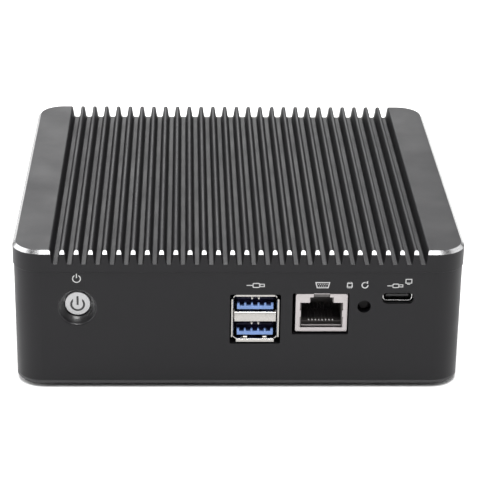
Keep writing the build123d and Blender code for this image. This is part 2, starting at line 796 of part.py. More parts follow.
with BuildPart() as serial_jack_contacts:
    add(jack_contacts([serial_x], serial_mouth_y, 1))
serial_jack_contacts.part.label = "serial_jack_contacts"
export_step(serial_jack_contacts.part, "parts/serial_jack_contacts.step")

# ---- USB-C socket ----
usb_c_depth = 7.4
usb_c_sheet = 0.3
usb_c_core_depth = 2.2
usb_c_tongue_width, usb_c_tongue_thickness = 6.7, 0.7
usb_c_tongue_length = 4.5

with BuildPart() as usb_c_shell:
    with BuildSketch(facing(usb_c_mouth_y)):
        with Locations((usb_c_x, usb_c_z)):
            RectangleRounded(usb_c_width, usb_c_height, usb_c_corner_r)
            RectangleRounded(
                usb_c_width - 2 * usb_c_sheet,
                usb_c_height - 2 * usb_c_sheet,
                usb_c_corner_r - usb_c_sheet,
                mode=Mode.SUBTRACT,
            )
    extrude(amount=-usb_c_depth)
usb_c_shell.part.label = "usb_c_shell"
export_step(usb_c_shell.part, "parts/usb_c_shell.step")

with BuildPart() as usb_c_tongue:
    with BuildSketch(facing(usb_c_mouth_y + usb_c_depth)):
        with Locations((usb_c_x, usb_c_z)):
            RectangleRounded(
                usb_c_width - 2 * usb_c_sheet,
                usb_c_height - 2 * usb_c_sheet,
                usb_c_corner_r - usb_c_sheet,
            )
    extrude(amount=usb_c_core_depth)
    with BuildSketch(facing(usb_c_mouth_y + usb_c_depth - usb_c_core_depth)):
        with Locations((usb_c_x, usb_c_z)):
            Rectangle(usb_c_tongue_width, usb_c_tongue_thickness)
    extrude(amount=usb_c_tongue_length)
    with BuildSketch(facing(usb_c_mouth_y + usb_c_depth)):
        with Locations((usb_c_x, (usb_c_z - usb_c_height / 2 + board_bottom_z) / 2)):
            Rectangle(usb_c_width, board_bottom_z - usb_c_z + usb_c_height / 2)
    extrude(amount=-1.2)
usb_c_tongue.part.label = "usb_c_tongue"
export_step(usb_c_tongue.part, "parts/usb_c_tongue.step")

# ======================= Rear ports =======================
rear_mouth_y = rear_y + port_stand_out

# ---- Network ports: four RJ45 sockets in a row, with two indicator lamps each ----
lan_depth = 21.0

with BuildPart() as lan_jack_shields:
    for lan_x in lan_xs:
        add(jack_shield(lan_x, rear_mouth_y, -1, lan_depth, True))
lan_jack_shields.part.label = "lan_jack_shields"
export_step(lan_jack_shields.part, "parts/lan_jack_shields.step")

for number, lan_x in enumerate(lan_xs, start=1):
    with BuildPart() as lan_jack_insert:
        add(jack_insert(lan_x, rear_mouth_y, -1, lan_depth, True))
    lan_jack_insert.part.label = f"lan_jack_insert_{number}"
    export_step(lan_jack_insert.part, f"parts/lan_jack_insert_{number}.step")

with BuildPart() as lan_jack_contacts:
    add(jack_contacts(lan_xs, rear_mouth_y, -1))
lan_jack_contacts.part.label = "lan_jack_contacts"
export_step(lan_jack_contacts.part, "parts/lan_jack_contacts.step")

with BuildPart() as lan_jack_lamps:
    with BuildSketch(facing(rear_mouth_y)):
        with Locations(*[(x + side * led_x, jack_bottom_z + led_z) for x in lan_xs for side in (-1, 1)]):
            Rectangle(led_width, led_height)
    extrude(amount=led_depth)
lan_jack_lamps.part.label = "lan_jack_lamps"
export_step(lan_jack_lamps.part, "parts/lan_jack_lamps.step")

# ---- Two stacked USB 2 sockets ----
usb2_contact_offsets = [-3.5, -1.0, 1.0, 3.5]

with BuildPart() as usb2_shell:
    add(usb_shell(usb2_x, rear_mouth_y, -1, usb2_z))
usb2_shell.part.label = "usb2_shell"
export_step(usb2_shell.part, "parts/usb2_shell.step")

with BuildPart() as usb2_insulator:
    add(usb_insulator(usb2_x, rear_mouth_y, -1, usb2_z, 1.6, 4))
usb2_insulator.part.label = "usb2_insulator"
export_step(usb2_insulator.part, "parts/usb2_insulator.step")

with BuildPart() as usb2_contacts:
    add(usb_contacts(usb2_x, rear_mouth_y, -1, usb2_z, usb2_contact_offsets, 1.0, 5.2))
usb2_contacts.part.label = "usb2_contacts"
export_step(usb2_contacts.part, "parts/usb2_contacts.step")

# ---- Two video sockets, one above the other on a shared plastic body ----
video_depth = 12.0
video_sheet = 0.4
video_body_depth = 6.0
video_body_bottom_z = displayport_z - displayport_height / 2
hdmi_corner = 2.3
displayport_corner = 2.2
video_tongue_length = 9.0


def video_shell(z, outline):
    """The sheet-metal shell of a video socket, from its outline."""
    with BuildSketch() as inside:
        add(outline)
        offset(amount=-video_sheet, kind=Kind.INTERSECTION, mode=Mode.REPLACE)
    with BuildPart() as shell:
        with BuildSketch(facing(rear_mouth_y)):
            with Locations((video_x, z)):
                add(outline)
                add(inside.sketch, mode=Mode.SUBTRACT)
        extrude(amount=video_depth)
    return shell.part


def video_tongue(z, width, thickness):
    """The contact tongue of a video socket, which stands on the shared body behind the shell."""
    body_y = rear_mouth_y - video_depth
    with BuildPart() as tongue:
        with BuildSketch(facing(body_y)):
            with Locations((video_x, z)):
                Rectangle(width, thickness)
        extrude(amount=-video_tongue_length)
    return tongue.part


with BuildSketch() as hdmi_outline:
    with BuildLine():
        Polyline(
            (-hdmi_width / 2, hdmi_height / 2),
            (hdmi_width / 2, hdmi_height / 2),
            (hdmi_width / 2, -0.2),
            (hdmi_width / 2 - hdmi_corner, -hdmi_height / 2),
            (-hdmi_width / 2 + hdmi_corner, -hdmi_height / 2),
            (-hdmi_width / 2, -0.2),
            close=True,
        )
    make_face()

with BuildPart() as hdmi_shell:
    add(video_shell(hdmi_z, hdmi_outline.sketch))
hdmi_shell.part.label = "hdmi_shell"
export_step(hdmi_shell.part, "parts/hdmi_shell.step")

with BuildPart() as hdmi_tongue:
    add(video_tongue(hdmi_z, 9.6, 1.2))
hdmi_tongue.part.label = "hdmi_tongue"
export_step(hdmi_tongue.part, "parts/hdmi_tongue.step")

with BuildSketch() as displayport_outline:
    with BuildLine():
        Polyline(
            (-displayport_width / 2, displayport_height / 2),
            (displayport_width / 2, displayport_height / 2),
            (displayport_width / 2, -displayport_height / 2 + displayport_corner),
            (displayport_width / 2 - displayport_corner, -displayport_height / 2),
            (-displayport_width / 2, -displayport_height / 2),
            close=True,
        )
    make_face()

with BuildPart() as displayport_shell:
    add(video_shell(displayport_z, displayport_outline.sketch))
displayport_shell.part.label = "displayport_shell"
export_step(displayport_shell.part, "parts/displayport_shell.step")

with BuildPart() as displayport_tongue:
    add(video_tongue(displayport_z, 11.4, 1.3))
displayport_tongue.part.label = "displayport_tongue"
export_step(displayport_tongue.part, "parts/displayport_tongue.step")

with BuildPart() as video_connector_body:
    add(
        block(
            (video_x - displayport_width / 2, video_x + displayport_width / 2),
            (rear_mouth_y - video_depth - video_body_depth, rear_mouth_y - video_depth),
            (video_body_bottom_z, board_bottom_z),
        )
    )
video_connector_body.part.label = "video_connector_body"
export_step(video_connector_body.part, "parts/video_connector_body.step")

# ---- DC power inlet: a barrel socket with a centre pin ----
dc_bore_r = 3.2
dc_bore_depth = 9.5
dc_pin_r = 1.25
dc_hole_z = board_bottom_z - 6.5
dc_face_r = 4.0
dc_face_depth = 0.6

with BuildPart() as dc_jack_body:
    add(
        block(
            (dc_jack_x - dc_width / 2, dc_jack_x + dc_width / 2),
            (rear_mouth_y - dc_depth, rear_mouth_y),
            (board_bottom_z - dc_height, board_bottom_z),
        )
    )
    with BuildSketch(facing(rear_mouth_y)):
        with Locations((dc_jack_x, dc_hole_z)):
            Circle(dc_bore_r)
    extrude(amount=dc_bore_depth, mode=Mode.SUBTRACT)
    with BuildSketch(facing(rear_mouth_y)):
        with Locations((dc_jack_x, dc_hole_z)):
            Circle(dc_face_r)
    extrude(amount=dc_face_depth, mode=Mode.SUBTRACT)
dc_jack_body.part.label = "dc_jack_body"
export_step(dc_jack_body.part, "parts/dc_jack_body.step")

with BuildPart() as dc_jack_pin:
    with BuildSketch(facing(rear_mouth_y - dc_bore_depth)):
        with Locations((dc_jack_x, dc_hole_z)):
            Circle(dc_pin_r)
    extrude(amount=-(dc_bore_depth - 1.2))
    fillet(dc_jack_pin.faces().sort_by(Axis.Y)[-1].edges(), dc_pin_r * 0.7)
dc_jack_pin.part.label = "dc_jack_pin"
export_step(dc_jack_pin.part, "parts/dc_jack_pin.step")

# ======================= Board and heat path =======================

# ---- Motherboard: hangs under the lid; the ports hang from its lower face ----
board_hole_r = 1.6
board_corner_r = 2.0
board_notch_width = 2 * boss_r + 1.0
board_notch_depth = boss_back_y + board_depth / 2 + button_gap

with BuildPart() as motherboard:
    with BuildSketch(Plane.XY.offset(board_bottom_z)):
        RectangleRounded(board_width, board_depth, board_corner_r)
        with Locations(*standoff_points):
            Circle(board_hole_r, mode=Mode.SUBTRACT)
        with Locations((power_button_x, -board_depth / 2)):
            Rectangle(board_notch_width, 2 * board_notch_depth, mode=Mode.SUBTRACT)
    extrude(amount=board_thickness)
motherboard.part.label = "motherboard"
export_step(motherboard.part, "parts/motherboard.step")

# ---- Standoffs between the lid and the board ----
standoff_hex_r = 2.9
standoff_stud = 1.8
standoff_hole_depth = 4.0

with BuildPart() as board_standoffs:
    with BuildSketch(Plane.XY.offset(board_top_z)):
        with Locations(*standoff_points):
            RegularPolygon(standoff_hex_r, 6)
    extrude(amount=board_gap)
    with BuildSketch(Plane.XY.offset(lid_bottom_z)):
        with Locations(*standoff_points):
            Circle(m25_r)
    extrude(amount=standoff_stud)
    with BuildSketch(Plane.XY.offset(board_top_z)):
        with Locations(*standoff_points):
            Circle(m25_r + screw_gap)
    extrude(amount=standoff_hole_depth, mode=Mode.SUBTRACT)
board_standoffs.part.label = "board_standoffs"
export_step(board_standoffs.part, "parts/board_standoffs.step")

# ---- Screws that hold the board to the standoffs ----
board_screw_length = board_thickness + standoff_hole_depth - 0.5
with BuildPart() as board_screws:
    with Locations(*at_height(standoff_points, board_bottom_z)):
        add(pan_screw(m25_r, 2.4, 1.6, board_screw_length))
board_screws.part.label = "board_screws"
export_step(board_screws.part, "parts/board_screws.step")

# ---- Processor: the package and the die on it ----
package_width, package_depth, package_height = 35.0, 24.0, 1.2
die_width, die_depth, die_height = 15.0, 9.5, 0.85

with BuildPart() as processor_substrate:
    with BuildSketch(Plane.XY.offset(board_top_z)):
        with Locations((processor_x, processor_y)):
            Rectangle(package_width, package_depth)
    extrude(amount=package_height)
processor_substrate.part.label = "processor_substrate"
export_step(processor_substrate.part, "parts/processor_substrate.step")

with BuildPart() as processor_die:
    with BuildSketch(Plane.XY.offset(board_top_z + package_height)):
        with Locations((processor_x, processor_y)):
            Rectangle(die_width, die_depth)
    extrude(amount=die_height)
processor_die.part.label = "processor_die"
export_step(processor_die.part, "parts/processor_die.step")

# ---- Heat path: a copper plate on the die and a thermal pad up to the lid ----
pad_thickness = 0.5
spreader_width, spreader_depth = 48.0, 38.0
spreader_bottom_z = board_top_z + package_height + die_height
spreader_top_z = lid_bottom_z - pad_thickness
spreader_corner_r = 2.0
spreader_head_r = 2.2

with BuildPart() as heat_spreader:
    with BuildSketch(Plane.XY.offset(spreader_bottom_z)):
        with Locations((processor_x, processor_y)):
            RectangleRounded(spreader_width, spreader_depth, spreader_corner_r)
    extrude(amount=spreader_top_z - spreader_bottom_z)
    with Locations(*at_height(spreader_screw_points, spreader_bottom_z)):
        add(countersunk_hole(m25_r, spreader_head_r, board_gap), mode=Mode.SUBTRACT)
heat_spreader.part.label = "heat_spreader"
export_step(heat_spreader.part, "parts/heat_spreader.step")

with BuildPart() as thermal_pad:
    with BuildSketch(Plane.XY.offset(spreader_top_z)):
        with Locations((processor_x, processor_y)):
            Rectangle(spreader_width - 14, spreader_depth - 12)
    extrude(amount=pad_thickness)
thermal_pad.part.label = "thermal_pad"
export_step(thermal_pad.part, "parts/thermal_pad.step")

spreader_screw_length = lid_bottom_z - spreader_bottom_z + web_screw_depth - 0.3
with BuildPart() as heat_spreader_screws:
    with Locations(*at_height(spreader_screw_points, spreader_bottom_z + cover_head_sink)):
        add(countersunk_screw(m25_r, spreader_head_r, spreader_screw_length))
heat_spreader_screws.part.label = "heat_spreader_screws"
export_step(heat_spreader_screws.part, "parts/heat_spreader_screws.step")

# ---- Network controllers, one for each network port, on the board's upper face ----
controller_size, controller_height, controller_y = 7.0, 0.9, 33.0
with BuildPart() as lan_controllers:
    with BuildSketch(Plane.XY.offset(board_top_z)):
        with Locations(*[(x, controller_y) for x in lan_xs[1:]], (lan_xs[0] + 8.0, controller_y - 10)):
            Rectangle(controller_size, controller_size)
    extrude(amount=controller_height)
lan_controllers.part.label = "lan_controllers"
export_step(lan_controllers.part, "parts/lan_controllers.step")

# ---- Inductors and capacitors of the power stage, under the board ----
inductor_count, inductor_size, inductor_height = 6, 6.4, 3.0
inductor_pitch, inductor_y = 9.5, 35.0
with BuildPart() as power_inductors:
    with BuildSketch(Plane.XY.offset(board_bottom_z)):
        with Locations((-4.0, inductor_y)):
            with GridLocations(inductor_pitch, 1, inductor_count, 1):
                RectangleRounded(inductor_size, inductor_size, 0.8)
    extrude(amount=-inductor_height)
power_inductors.part.label = "power_inductors"
export_step(power_inductors.part, "parts/power_inductors.step")

capacitor_r, capacitor_height = 3.15, 7.5
with BuildPart() as capacitors:
    with BuildSketch(Plane.XY.offset(board_bottom_z)):
        with Locations((38.0, 1.0), (46.0, 1.0), (30.0, 35.0), (38.0, 35.0)):
            Circle(capacitor_r)
    extrude(amount=-capacitor_height)
    fillet(capacitors.edges().group_by(Axis.Z)[0], 0.5)
capacitors.part.label = "capacitors"
export_step(capacitors.part, "parts/capacitors.step")

# ======================= Memory and storage =======================

# ---- Memory: a socket with two arms, a module in it and its chips ----
memory_x = -11.0
memory_socket_width, memory_socket_y, memory_socket_depth = 73.0, -34.5, 6.5
memory_socket_height = 5.2
arm_width, arm_length = 2.2, 26.0
module_width, module_depth, module_thickness = 67.6, 30.0, 1.2
module_z = board_bottom_z - 3.6
module_insert = 2.5
module_front_y = memory_socket_y + memory_socket_depth / 2 - module_insert
chip_width, chip_depth, chip_height = 7.5, 11.0, 0.9

with BuildPart() as memory_socket:
    with BuildSketch(Plane.XY.offset(board_bottom_z)):
        with Locations((memory_x, memory_socket_y)):
            Rectangle(memory_socket_width, memory_socket_depth)
        arm_y = memory_socket_y + memory_socket_depth / 2 + arm_length / 2
        arm_x = memory_socket_width / 2 - arm_width / 2
        with Locations((memory_x - arm_x, arm_y), (memory_x + arm_x, arm_y)):
            Rectangle(arm_width, arm_length)
    extrude(amount=-memory_socket_height)
    with BuildSketch(Plane.XY.offset(module_z)):
        with Locations((memory_x, module_front_y + module_depth / 2)):
            Rectangle(module_width + 0.2, module_depth)
    extrude(amount=module_thickness, mode=Mode.SUBTRACT)
memory_socket.part.label = "memory_socket"
export_step(memory_socket.part, "parts/memory_socket.step")

with BuildPart() as memory_module:
    with BuildSketch(Plane.XY.offset(module_z)):
        with Locations((memory_x, module_front_y + module_depth / 2)):
            Rectangle(module_width, module_depth)
    extrude(amount=module_thickness)
memory_module.part.label = "memory_module"
export_step(memory_module.part, "parts/memory_module.step")

with BuildPart() as memory_chips:
    with BuildSketch(Plane.XY.offset(module_z)):
        with Locations((memory_x, module_front_y + module_insert + module_depth / 2)):
            with GridLocations(chip_width + 1.5, 1, 7, 1):
                Rectangle(chip_width, chip_depth)
    extrude(amount=-chip_height)
memory_chips.part.label = "memory_chips"
export_step(memory_chips.part, "parts/memory_chips.step")

# ---- Storage: an M.2 drive between its socket and a screw post ----
ssd_width, ssd_length, ssd_thickness = 22.0, 80.0, 0.8
ssd_y = 17.0
ssd_right_x = 40.0
ssd_z_gap = 2.0
ssd_z = board_bottom_z - ssd_z_gap - 1.2
ssd_socket_depth, ssd_socket_height, ssd_insert = 8.5, 4.2, 1.5
ssd_left_x = ssd_right_x - ssd_length
ssd_notch_r = 1.75
ssd_chip_places = [16.0, 40.0, 62.0]
ssd_chip_width, ssd_chip_depth, ssd_chip_height = 14.0, 16.0, 1.1
ssd_post_r, ssd_screw_head_r, ssd_screw_head_height = 2.75, 2.5, 1.2

with BuildPart() as ssd_socket:
    add(
        block(
            (ssd_right_x - ssd_insert, ssd_right_x - ssd_insert + ssd_socket_depth),
            (ssd_y - ssd_width / 2, ssd_y + ssd_width / 2),
            (board_bottom_z - ssd_socket_height, board_bottom_z),
        )
    )
    add(
        block(
            (ssd_right_x - ssd_insert, ssd_right_x),
            (ssd_y - ssd_width / 2, ssd_y + ssd_width / 2),
            (ssd_z, ssd_z + ssd_thickness),
        ),
        mode=Mode.SUBTRACT,
    )
ssd_socket.part.label = "ssd_socket"
export_step(ssd_socket.part, "parts/ssd_socket.step")

with BuildPart() as ssd_board:
    add(
        block(
            (ssd_left_x, ssd_right_x),
            (ssd_y - ssd_width / 2, ssd_y + ssd_width / 2),
            (ssd_z, ssd_z + ssd_thickness),
        )
    )
    with BuildSketch(Plane.XY.offset(ssd_z)):
        with Locations((ssd_left_x, ssd_y)):
            Circle(ssd_notch_r)
    extrude(amount=ssd_thickness, mode=Mode.SUBTRACT)
ssd_board.part.label = "ssd_board"
export_step(ssd_board.part, "parts/ssd_board.step")

with BuildPart() as ssd_chips:
    with BuildSketch(Plane.XY.offset(ssd_z)):
        with Locations(*[(ssd_right_x - from_socket, ssd_y) for from_socket in ssd_chip_places]):
            Rectangle(ssd_chip_width, ssd_chip_depth)
    extrude(amount=-ssd_chip_height)
ssd_chips.part.label = "ssd_chips"
export_step(ssd_chips.part, "parts/ssd_chips.step")

with BuildPart() as ssd_standoff:
    with BuildSketch(Plane.XY.offset(board_bottom_z)):
        with Locations((ssd_left_x, ssd_y)):
            Circle(ssd_post_r)
            Circle(m25_r + screw_gap, mode=Mode.SUBTRACT)
    extrude(amount=-(board_bottom_z - ssd_z - ssd_thickness))
ssd_standoff.part.label = "ssd_standoff"
export_step(ssd_standoff.part, "parts/ssd_standoff.step")

with BuildPart() as ssd_screw:
    with Locations((ssd_left_x, ssd_y, ssd_z)):
        add(pan_screw(m25_r, ssd_screw_head_r, ssd_screw_head_height, ssd_z_gap + ssd_thickness))
ssd_screw.part.label = "ssd_screw"
export_step(ssd_screw.part, "parts/ssd_screw.step")

# ---- Clock battery: a coin cell in its holder ----
cell_r, cell_thickness = 10.0, 3.2
cell_x, cell_y = 38.5, -20.5
holder_r, holder_height, holder_floor = 11.2, 4.6, 1.2

with BuildPart() as coin_cell_holder:
    with BuildSketch(Plane.XY.offset(board_bottom_z)):
        with Locations((cell_x, cell_y)):
            Circle(holder_r)
    extrude(amount=-holder_height)
    with BuildSketch(Plane.XY.offset(board_bottom_z - holder_floor)):
        with Locations((cell_x, cell_y)):
            Circle(cell_r + 0.2)
    extrude(amount=-holder_height, mode=Mode.SUBTRACT)
    with BuildSketch(Plane.XY.offset(board_bottom_z - holder_floor)):
        with Locations((cell_x, cell_y - holder_r)):
            Rectangle(9.0, 9.0)
    extrude(amount=-holder_height, mode=Mode.SUBTRACT)
coin_cell_holder.part.label = "coin_cell_holder"
export_step(coin_cell_holder.part, "parts/coin_cell_holder.step")

with BuildPart() as coin_cell:
    with BuildSketch(Plane.XY.offset(board_bottom_z - holder_floor)):
        with Locations((cell_x, cell_y)):
            Circle(cell_r)
    extrude(amount=-cell_thickness)
    fillet(coin_cell.edges().group_by(Axis.Z)[0], 0.4)
coin_cell.part.label = "coin_cell"
export_step(coin_cell.part, "parts/coin_cell.step")
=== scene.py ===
"""Fanless mini PC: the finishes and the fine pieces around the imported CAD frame.

The scene is in metres, in the CAD's own frame: +X to the right seen from the front, +Y to the rear, +Z up.
Sizes in this file are in millimetres, except in the studio at its end.
"""

import json
import math

import bmesh
import bpy
from mathutils import Matrix, Vector


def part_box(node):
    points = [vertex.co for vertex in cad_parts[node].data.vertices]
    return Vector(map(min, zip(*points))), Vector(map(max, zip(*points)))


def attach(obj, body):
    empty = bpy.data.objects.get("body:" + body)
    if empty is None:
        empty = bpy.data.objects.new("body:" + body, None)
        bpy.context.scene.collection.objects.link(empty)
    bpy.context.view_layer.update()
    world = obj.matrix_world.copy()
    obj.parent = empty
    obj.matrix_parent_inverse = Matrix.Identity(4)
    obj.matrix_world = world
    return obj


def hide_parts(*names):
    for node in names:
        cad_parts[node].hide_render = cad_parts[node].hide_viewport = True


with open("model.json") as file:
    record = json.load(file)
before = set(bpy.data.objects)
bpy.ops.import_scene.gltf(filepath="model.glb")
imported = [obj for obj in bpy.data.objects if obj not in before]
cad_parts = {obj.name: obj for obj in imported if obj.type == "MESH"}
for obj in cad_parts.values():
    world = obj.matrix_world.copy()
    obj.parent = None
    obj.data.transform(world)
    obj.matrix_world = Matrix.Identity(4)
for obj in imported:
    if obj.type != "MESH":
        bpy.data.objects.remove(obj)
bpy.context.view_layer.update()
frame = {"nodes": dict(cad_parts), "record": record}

MM = 0.001
CASE = "case"
CREASE_ANGLE = math.radians(32.0)
CORNER_STEPS = 6
nodes = frame["nodes"]


# ======================= Small helpers =======================


def place_of(node):
    """A CAD node's middle and half sizes in millimetres, and its lowest and highest corners."""
    low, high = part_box(node)
    low, high = low / MM, high / MM
    return (low + high) / 2, (high - low) / 2, low, high


def shade(mesh):
    """Smooth shading, with creases where two faces meet at more than the crease angle."""
    mesh.polygons.foreach_set("use_smooth", [True] * len(mesh.polygons))
    mesh.set_sharp_from_angle(angle=CREASE_ANGLE)


def add_piece(name, mesh, finish, body=CASE, replaces=()):
    """Puts a mesh in the scene as a piece that rides a body, with one of the finishes."""
    piece = bpy.data.objects.new(name, mesh)
    bpy.context.scene.collection.objects.link(piece)
    mesh.materials.append(finishes[finish])
    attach(piece, body)
    if replaces:
        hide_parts(*replaces)


def mesh_from(name, made):
    """Turns a bmesh in millimetres into a mesh in metres."""
    bmesh.ops.scale(made, vec=(MM, MM, MM), verts=made.verts)
    bmesh.ops.recalc_face_normals(made, faces=made.faces)
    mesh = bpy.data.meshes.new(name)
    made.to_mesh(mesh)
    made.free()
    shade(mesh)
    return mesh


def joined(name, parts):
    """One bmesh from several, which are used up."""
    whole = bmesh.new()
    for part in parts:
        mesh = bpy.data.meshes.new(name)
        part.to_mesh(mesh)
        part.free()
        whole.from_mesh(mesh)
        bpy.data.meshes.remove(mesh)
    return whole


def rounded(width, height, radius, x=0.0, z=0.0, steps=CORNER_STEPS):
    """The outline of a rectangle with round corners, as points in the X-Z plane."""
    points = []
    for turn, (sx, sz) in enumerate([(1, 1), (-1, 1), (-1, -1), (1, -1)]):
        cx, cz = x + sx * (width / 2 - radius), z + sz * (height / 2 - radius)
        for step in range(steps + 1):
            angle = math.pi / 2 * (turn + step / steps)
            points.append((cx + radius * math.cos(angle), cz + radius * math.sin(angle)))
    return points


def ring_points(radius, x=0.0, z=0.0, start=0.0, end=360.0, steps=64):
    """Points along an arc, in the X-Z plane. Angles are in degrees from +X."""
    closed = abs(end - start) >= 360.0
    count = steps if closed else steps + 1
    turns = [math.radians(start + (end - start) * i / steps) for i in range(count)]
    return [(x + radius * math.cos(turn), z + radius * math.sin(turn)) for turn in turns]


def plate(loops, front, depth, edge=0.0, edge_steps=2):
    """A flat plate across Y, from its outline and its holes, with eased edges. Its front is the lower Y."""
    curve = bpy.data.curves.new("plate", "CURVE")
    curve.dimensions = "2D"
    curve.fill_mode = "BOTH"
    curve.extrude = depth / 2 - edge
    curve.bevel_depth = edge
    curve.bevel_resolution = edge_steps
    curve.offset = -edge
    for loop in loops:
        spline = curve.splines.new("POLY")
        spline.points.add(len(loop) - 1)
        for point, (x, z) in zip(spline.points, loop):
            point.co = (x, z, 0.0, 1.0)
        spline.use_cyclic_u = True
    holder = bpy.data.objects.new("plate", curve)
    bpy.context.scene.collection.objects.link(holder)
    flat = bpy.data.meshes.new_from_object(holder)
    bpy.data.objects.remove(holder)
    bpy.data.curves.remove(curve)
    made = bmesh.new()
    made.from_mesh(flat)
    bpy.data.meshes.remove(flat)
    bmesh.ops.remove_doubles(made, verts=made.verts, dist=1e-5)
    upright = Matrix.Rotation(math.radians(90), 4, "X")
    place = Matrix.Translation((0, front + depth / 2, 0))
    bmesh.ops.transform(made, matrix=place @ upright, verts=made.verts)
    return made


def slab(low, high, edge=0.0, steps=2):
    """A block between two corners, with eased edges."""
    made = bmesh.new()
    bmesh.ops.create_cube(made, size=1.0)
    size = [b - a for a, b in zip(low, high)]
    middle = [(a + b) / 2 for a, b in zip(low, high)]
    bmesh.ops.scale(made, vec=size, verts=made.verts)
    bmesh.ops.translate(made, vec=middle, verts=made.verts)
    if edge:
        easing = {"offset": edge, "segments": steps, "profile": 0.5, "clamp_overlap": True}
        bmesh.ops.bevel(made, geom=made.edges[:], affect="EDGES", **easing)
    return made


def swept(path, across):
    """A bar with the outline "across" (pairs: out, y) along a path of (x, z, out direction x, z) points."""
    made = bmesh.new()
    rows = [
        [made.verts.new((x + out * nx, y, z + out * nz)) for out, y in across]
        for x, z, nx, nz in path
    ]
    for first, second in zip(rows, rows[1:]):
        for i in range(len(across)):
            j = (i + 1) % len(across)
            made.faces.new([first[i], first[j], second[j], second[i]])
    made.faces.new(rows[0][::-1])
    made.faces.new(rows[-1])
    return made


# ======================= Finishes =======================


# Most of a noise node's values lie in this span.
NOISE_SPAN = (0.35, 0.65)


class Finish:
    """A procedural material, built from a Principled shader and chained maths and noise nodes."""

    def __init__(self, name, colour, roughness, metallic=0.0, **sockets):
        self.material = bpy.data.materials.new(name)
        self.material.use_nodes = True
        self.tree = self.material.node_tree
        self.shader = self.tree.nodes["Principled BSDF"]
        self.set("Base Color", (*colour, 1.0))
        self.set("Roughness", roughness)
        self.set("Metallic", metallic)
        for socket, value in sockets.items():
            self.set(socket.replace("_", " "), value)
        self.colour = colour
        self.bump_end = None
        coordinates = self.tree.nodes.new("ShaderNodeTexCoord")
        self.place, self.normal = coordinates.outputs["Object"], coordinates.outputs["Normal"]

    def set(self, socket, value):
        """Gives one of the shader's sockets a value that is the same everywhere."""
        self.shader.inputs[socket].default_value = value

    def use(self, socket, value):
        """Links one of the shader's sockets to a node's output."""
        self.link(value, self.shader.inputs[socket])

    def link(self, source, target):
        self.tree.links.new(source, target)

    def feed(self, node, index, value):
        """Links a node's input to another node's output, or sets it to a number."""
        if isinstance(value, bpy.types.NodeSocket):
            self.link(value, node.inputs[index])
        else:
            node.inputs[index].default_value = value

    def math(self, operation, a, b=None, c=None):
        node = self.tree.nodes.new("ShaderNodeMath")
        node.operation = operation
        for index, value in enumerate((a, b, c)):
            if value is not None:
                self.feed(node, index, value)
        return node.outputs[0]

    def axes(self, vector):
        """A vector's X, Y and Z."""
        node = self.tree.nodes.new("ShaderNodeSeparateXYZ")
        self.link(vector, node.inputs[0])
        return node.outputs[0], node.outputs[1], node.outputs[2]

    def noise(self, size, detail=3.0, rough=0.55, stretch=(1.0, 1.0, 1.0)):
        """Noise whose features are about "size" millimetres, stretched along the axes."""
        mapping = self.tree.nodes.new("ShaderNodeMapping")
        mapping.inputs["Scale"].default_value = [1.0 / (size * MM * s) for s in stretch]
        self.link(self.place, mapping.inputs["Vector"])
        node = self.tree.nodes.new("ShaderNodeTexNoise")
        node.inputs["Scale"].default_value = 1.0
        node.inputs["Detail"].default_value = detail
        node.inputs["Roughness"].default_value = rough
        self.link(mapping.outputs[0], node.inputs["Vector"])
        return node.outputs[0]

    def ranged(self, value, low, high, out_low, out_high):
        """Maps low..high to out_low..out_high, and stops at both ends."""
        node = self.tree.nodes.new("ShaderNodeMapRange")
        for index, number in enumerate((low, high, out_low, out_high), start=1):
            node.inputs[index].default_value = number
        self.link(value, node.inputs[0])
        return node.outputs[0]

    def mixed(self, factor, a, b):
        """A colour between a and b."""
        node = self.tree.nodes.new("ShaderNodeMix")
        node.data_type = "RGBA"
        self.link(factor, node.inputs["Factor"])
        for socket, value in (("A", a), ("B", b)):
            target = next(s for s in node.inputs if s.name == socket and s.type == "RGBA")
            if isinstance(value, bpy.types.NodeSocket):
                self.link(value, target)
            else:
                target.default_value = (*value, 1.0)
        return next(s for s in node.outputs if s.type == "RGBA")

    def blended(self, factor, a, b):
        """A number between a and b."""
        spread = self.math("SUBTRACT", b, a)
        return self.math("MULTIPLY_ADD", spread, factor, a)

    def tint(self, noise, low, high):
        """Colour that drifts between two multiples of the base colour."""
        factor = self.ranged(noise, *NOISE_SPAN, 0.0, 1.0)
        dark = [c * low for c in self.colour]
        light = [min(1.0, c * high) for c in self.colour]
        return self.mixed(factor, dark, light)

    def bump(self, height, depth, strength=1.0):
        """Adds a bump of about "depth" millimetres on top of any before."""
        node = self.tree.nodes.new("ShaderNodeBump")
        node.inputs["Strength"].default_value = strength
        node.inputs["Distance"].default_value = depth * MM
        self.link(height, node.inputs["Height"])
        if self.bump_end is not None:
            self.link(self.bump_end, node.inputs["Normal"])
        self.bump_end = node.outputs[0]
        self.link(self.bump_end, self.shader.inputs["Normal"])


SLOW_GRAINS = 22
LEAST_ROUGHNESS = 0.02


def plain_finish(name, colour, roughness, metallic, grain, depth, tone, rough_spread=0.08, **sockets):
    """A finish with fine grain, its bumps' depth, and slow drifts in tone and gloss."""
    made = Finish(name, colour, roughness, metallic, **sockets)
    slow = made.noise(grain * SLOW_GRAINS, detail=4.0)
    fine = made.noise(grain, detail=2.0)
    made.use("Base Color", made.tint(slow, 1.0 - tone, 1.0 + tone))
    mottle = made.math("ADD", made.math("MULTIPLY", slow, 0.5), made.math("MULTIPLY", fine, 0.5))
    smoothest = max(LEAST_ROUGHNESS, roughness - rough_spread)
    roughest = min(1.0, roughness + rough_spread)
    made.use("Roughness", made.ranged(mottle, *NOISE_SPAN, smoothest, roughest))
    made.bump(fine, depth)
    return made.material


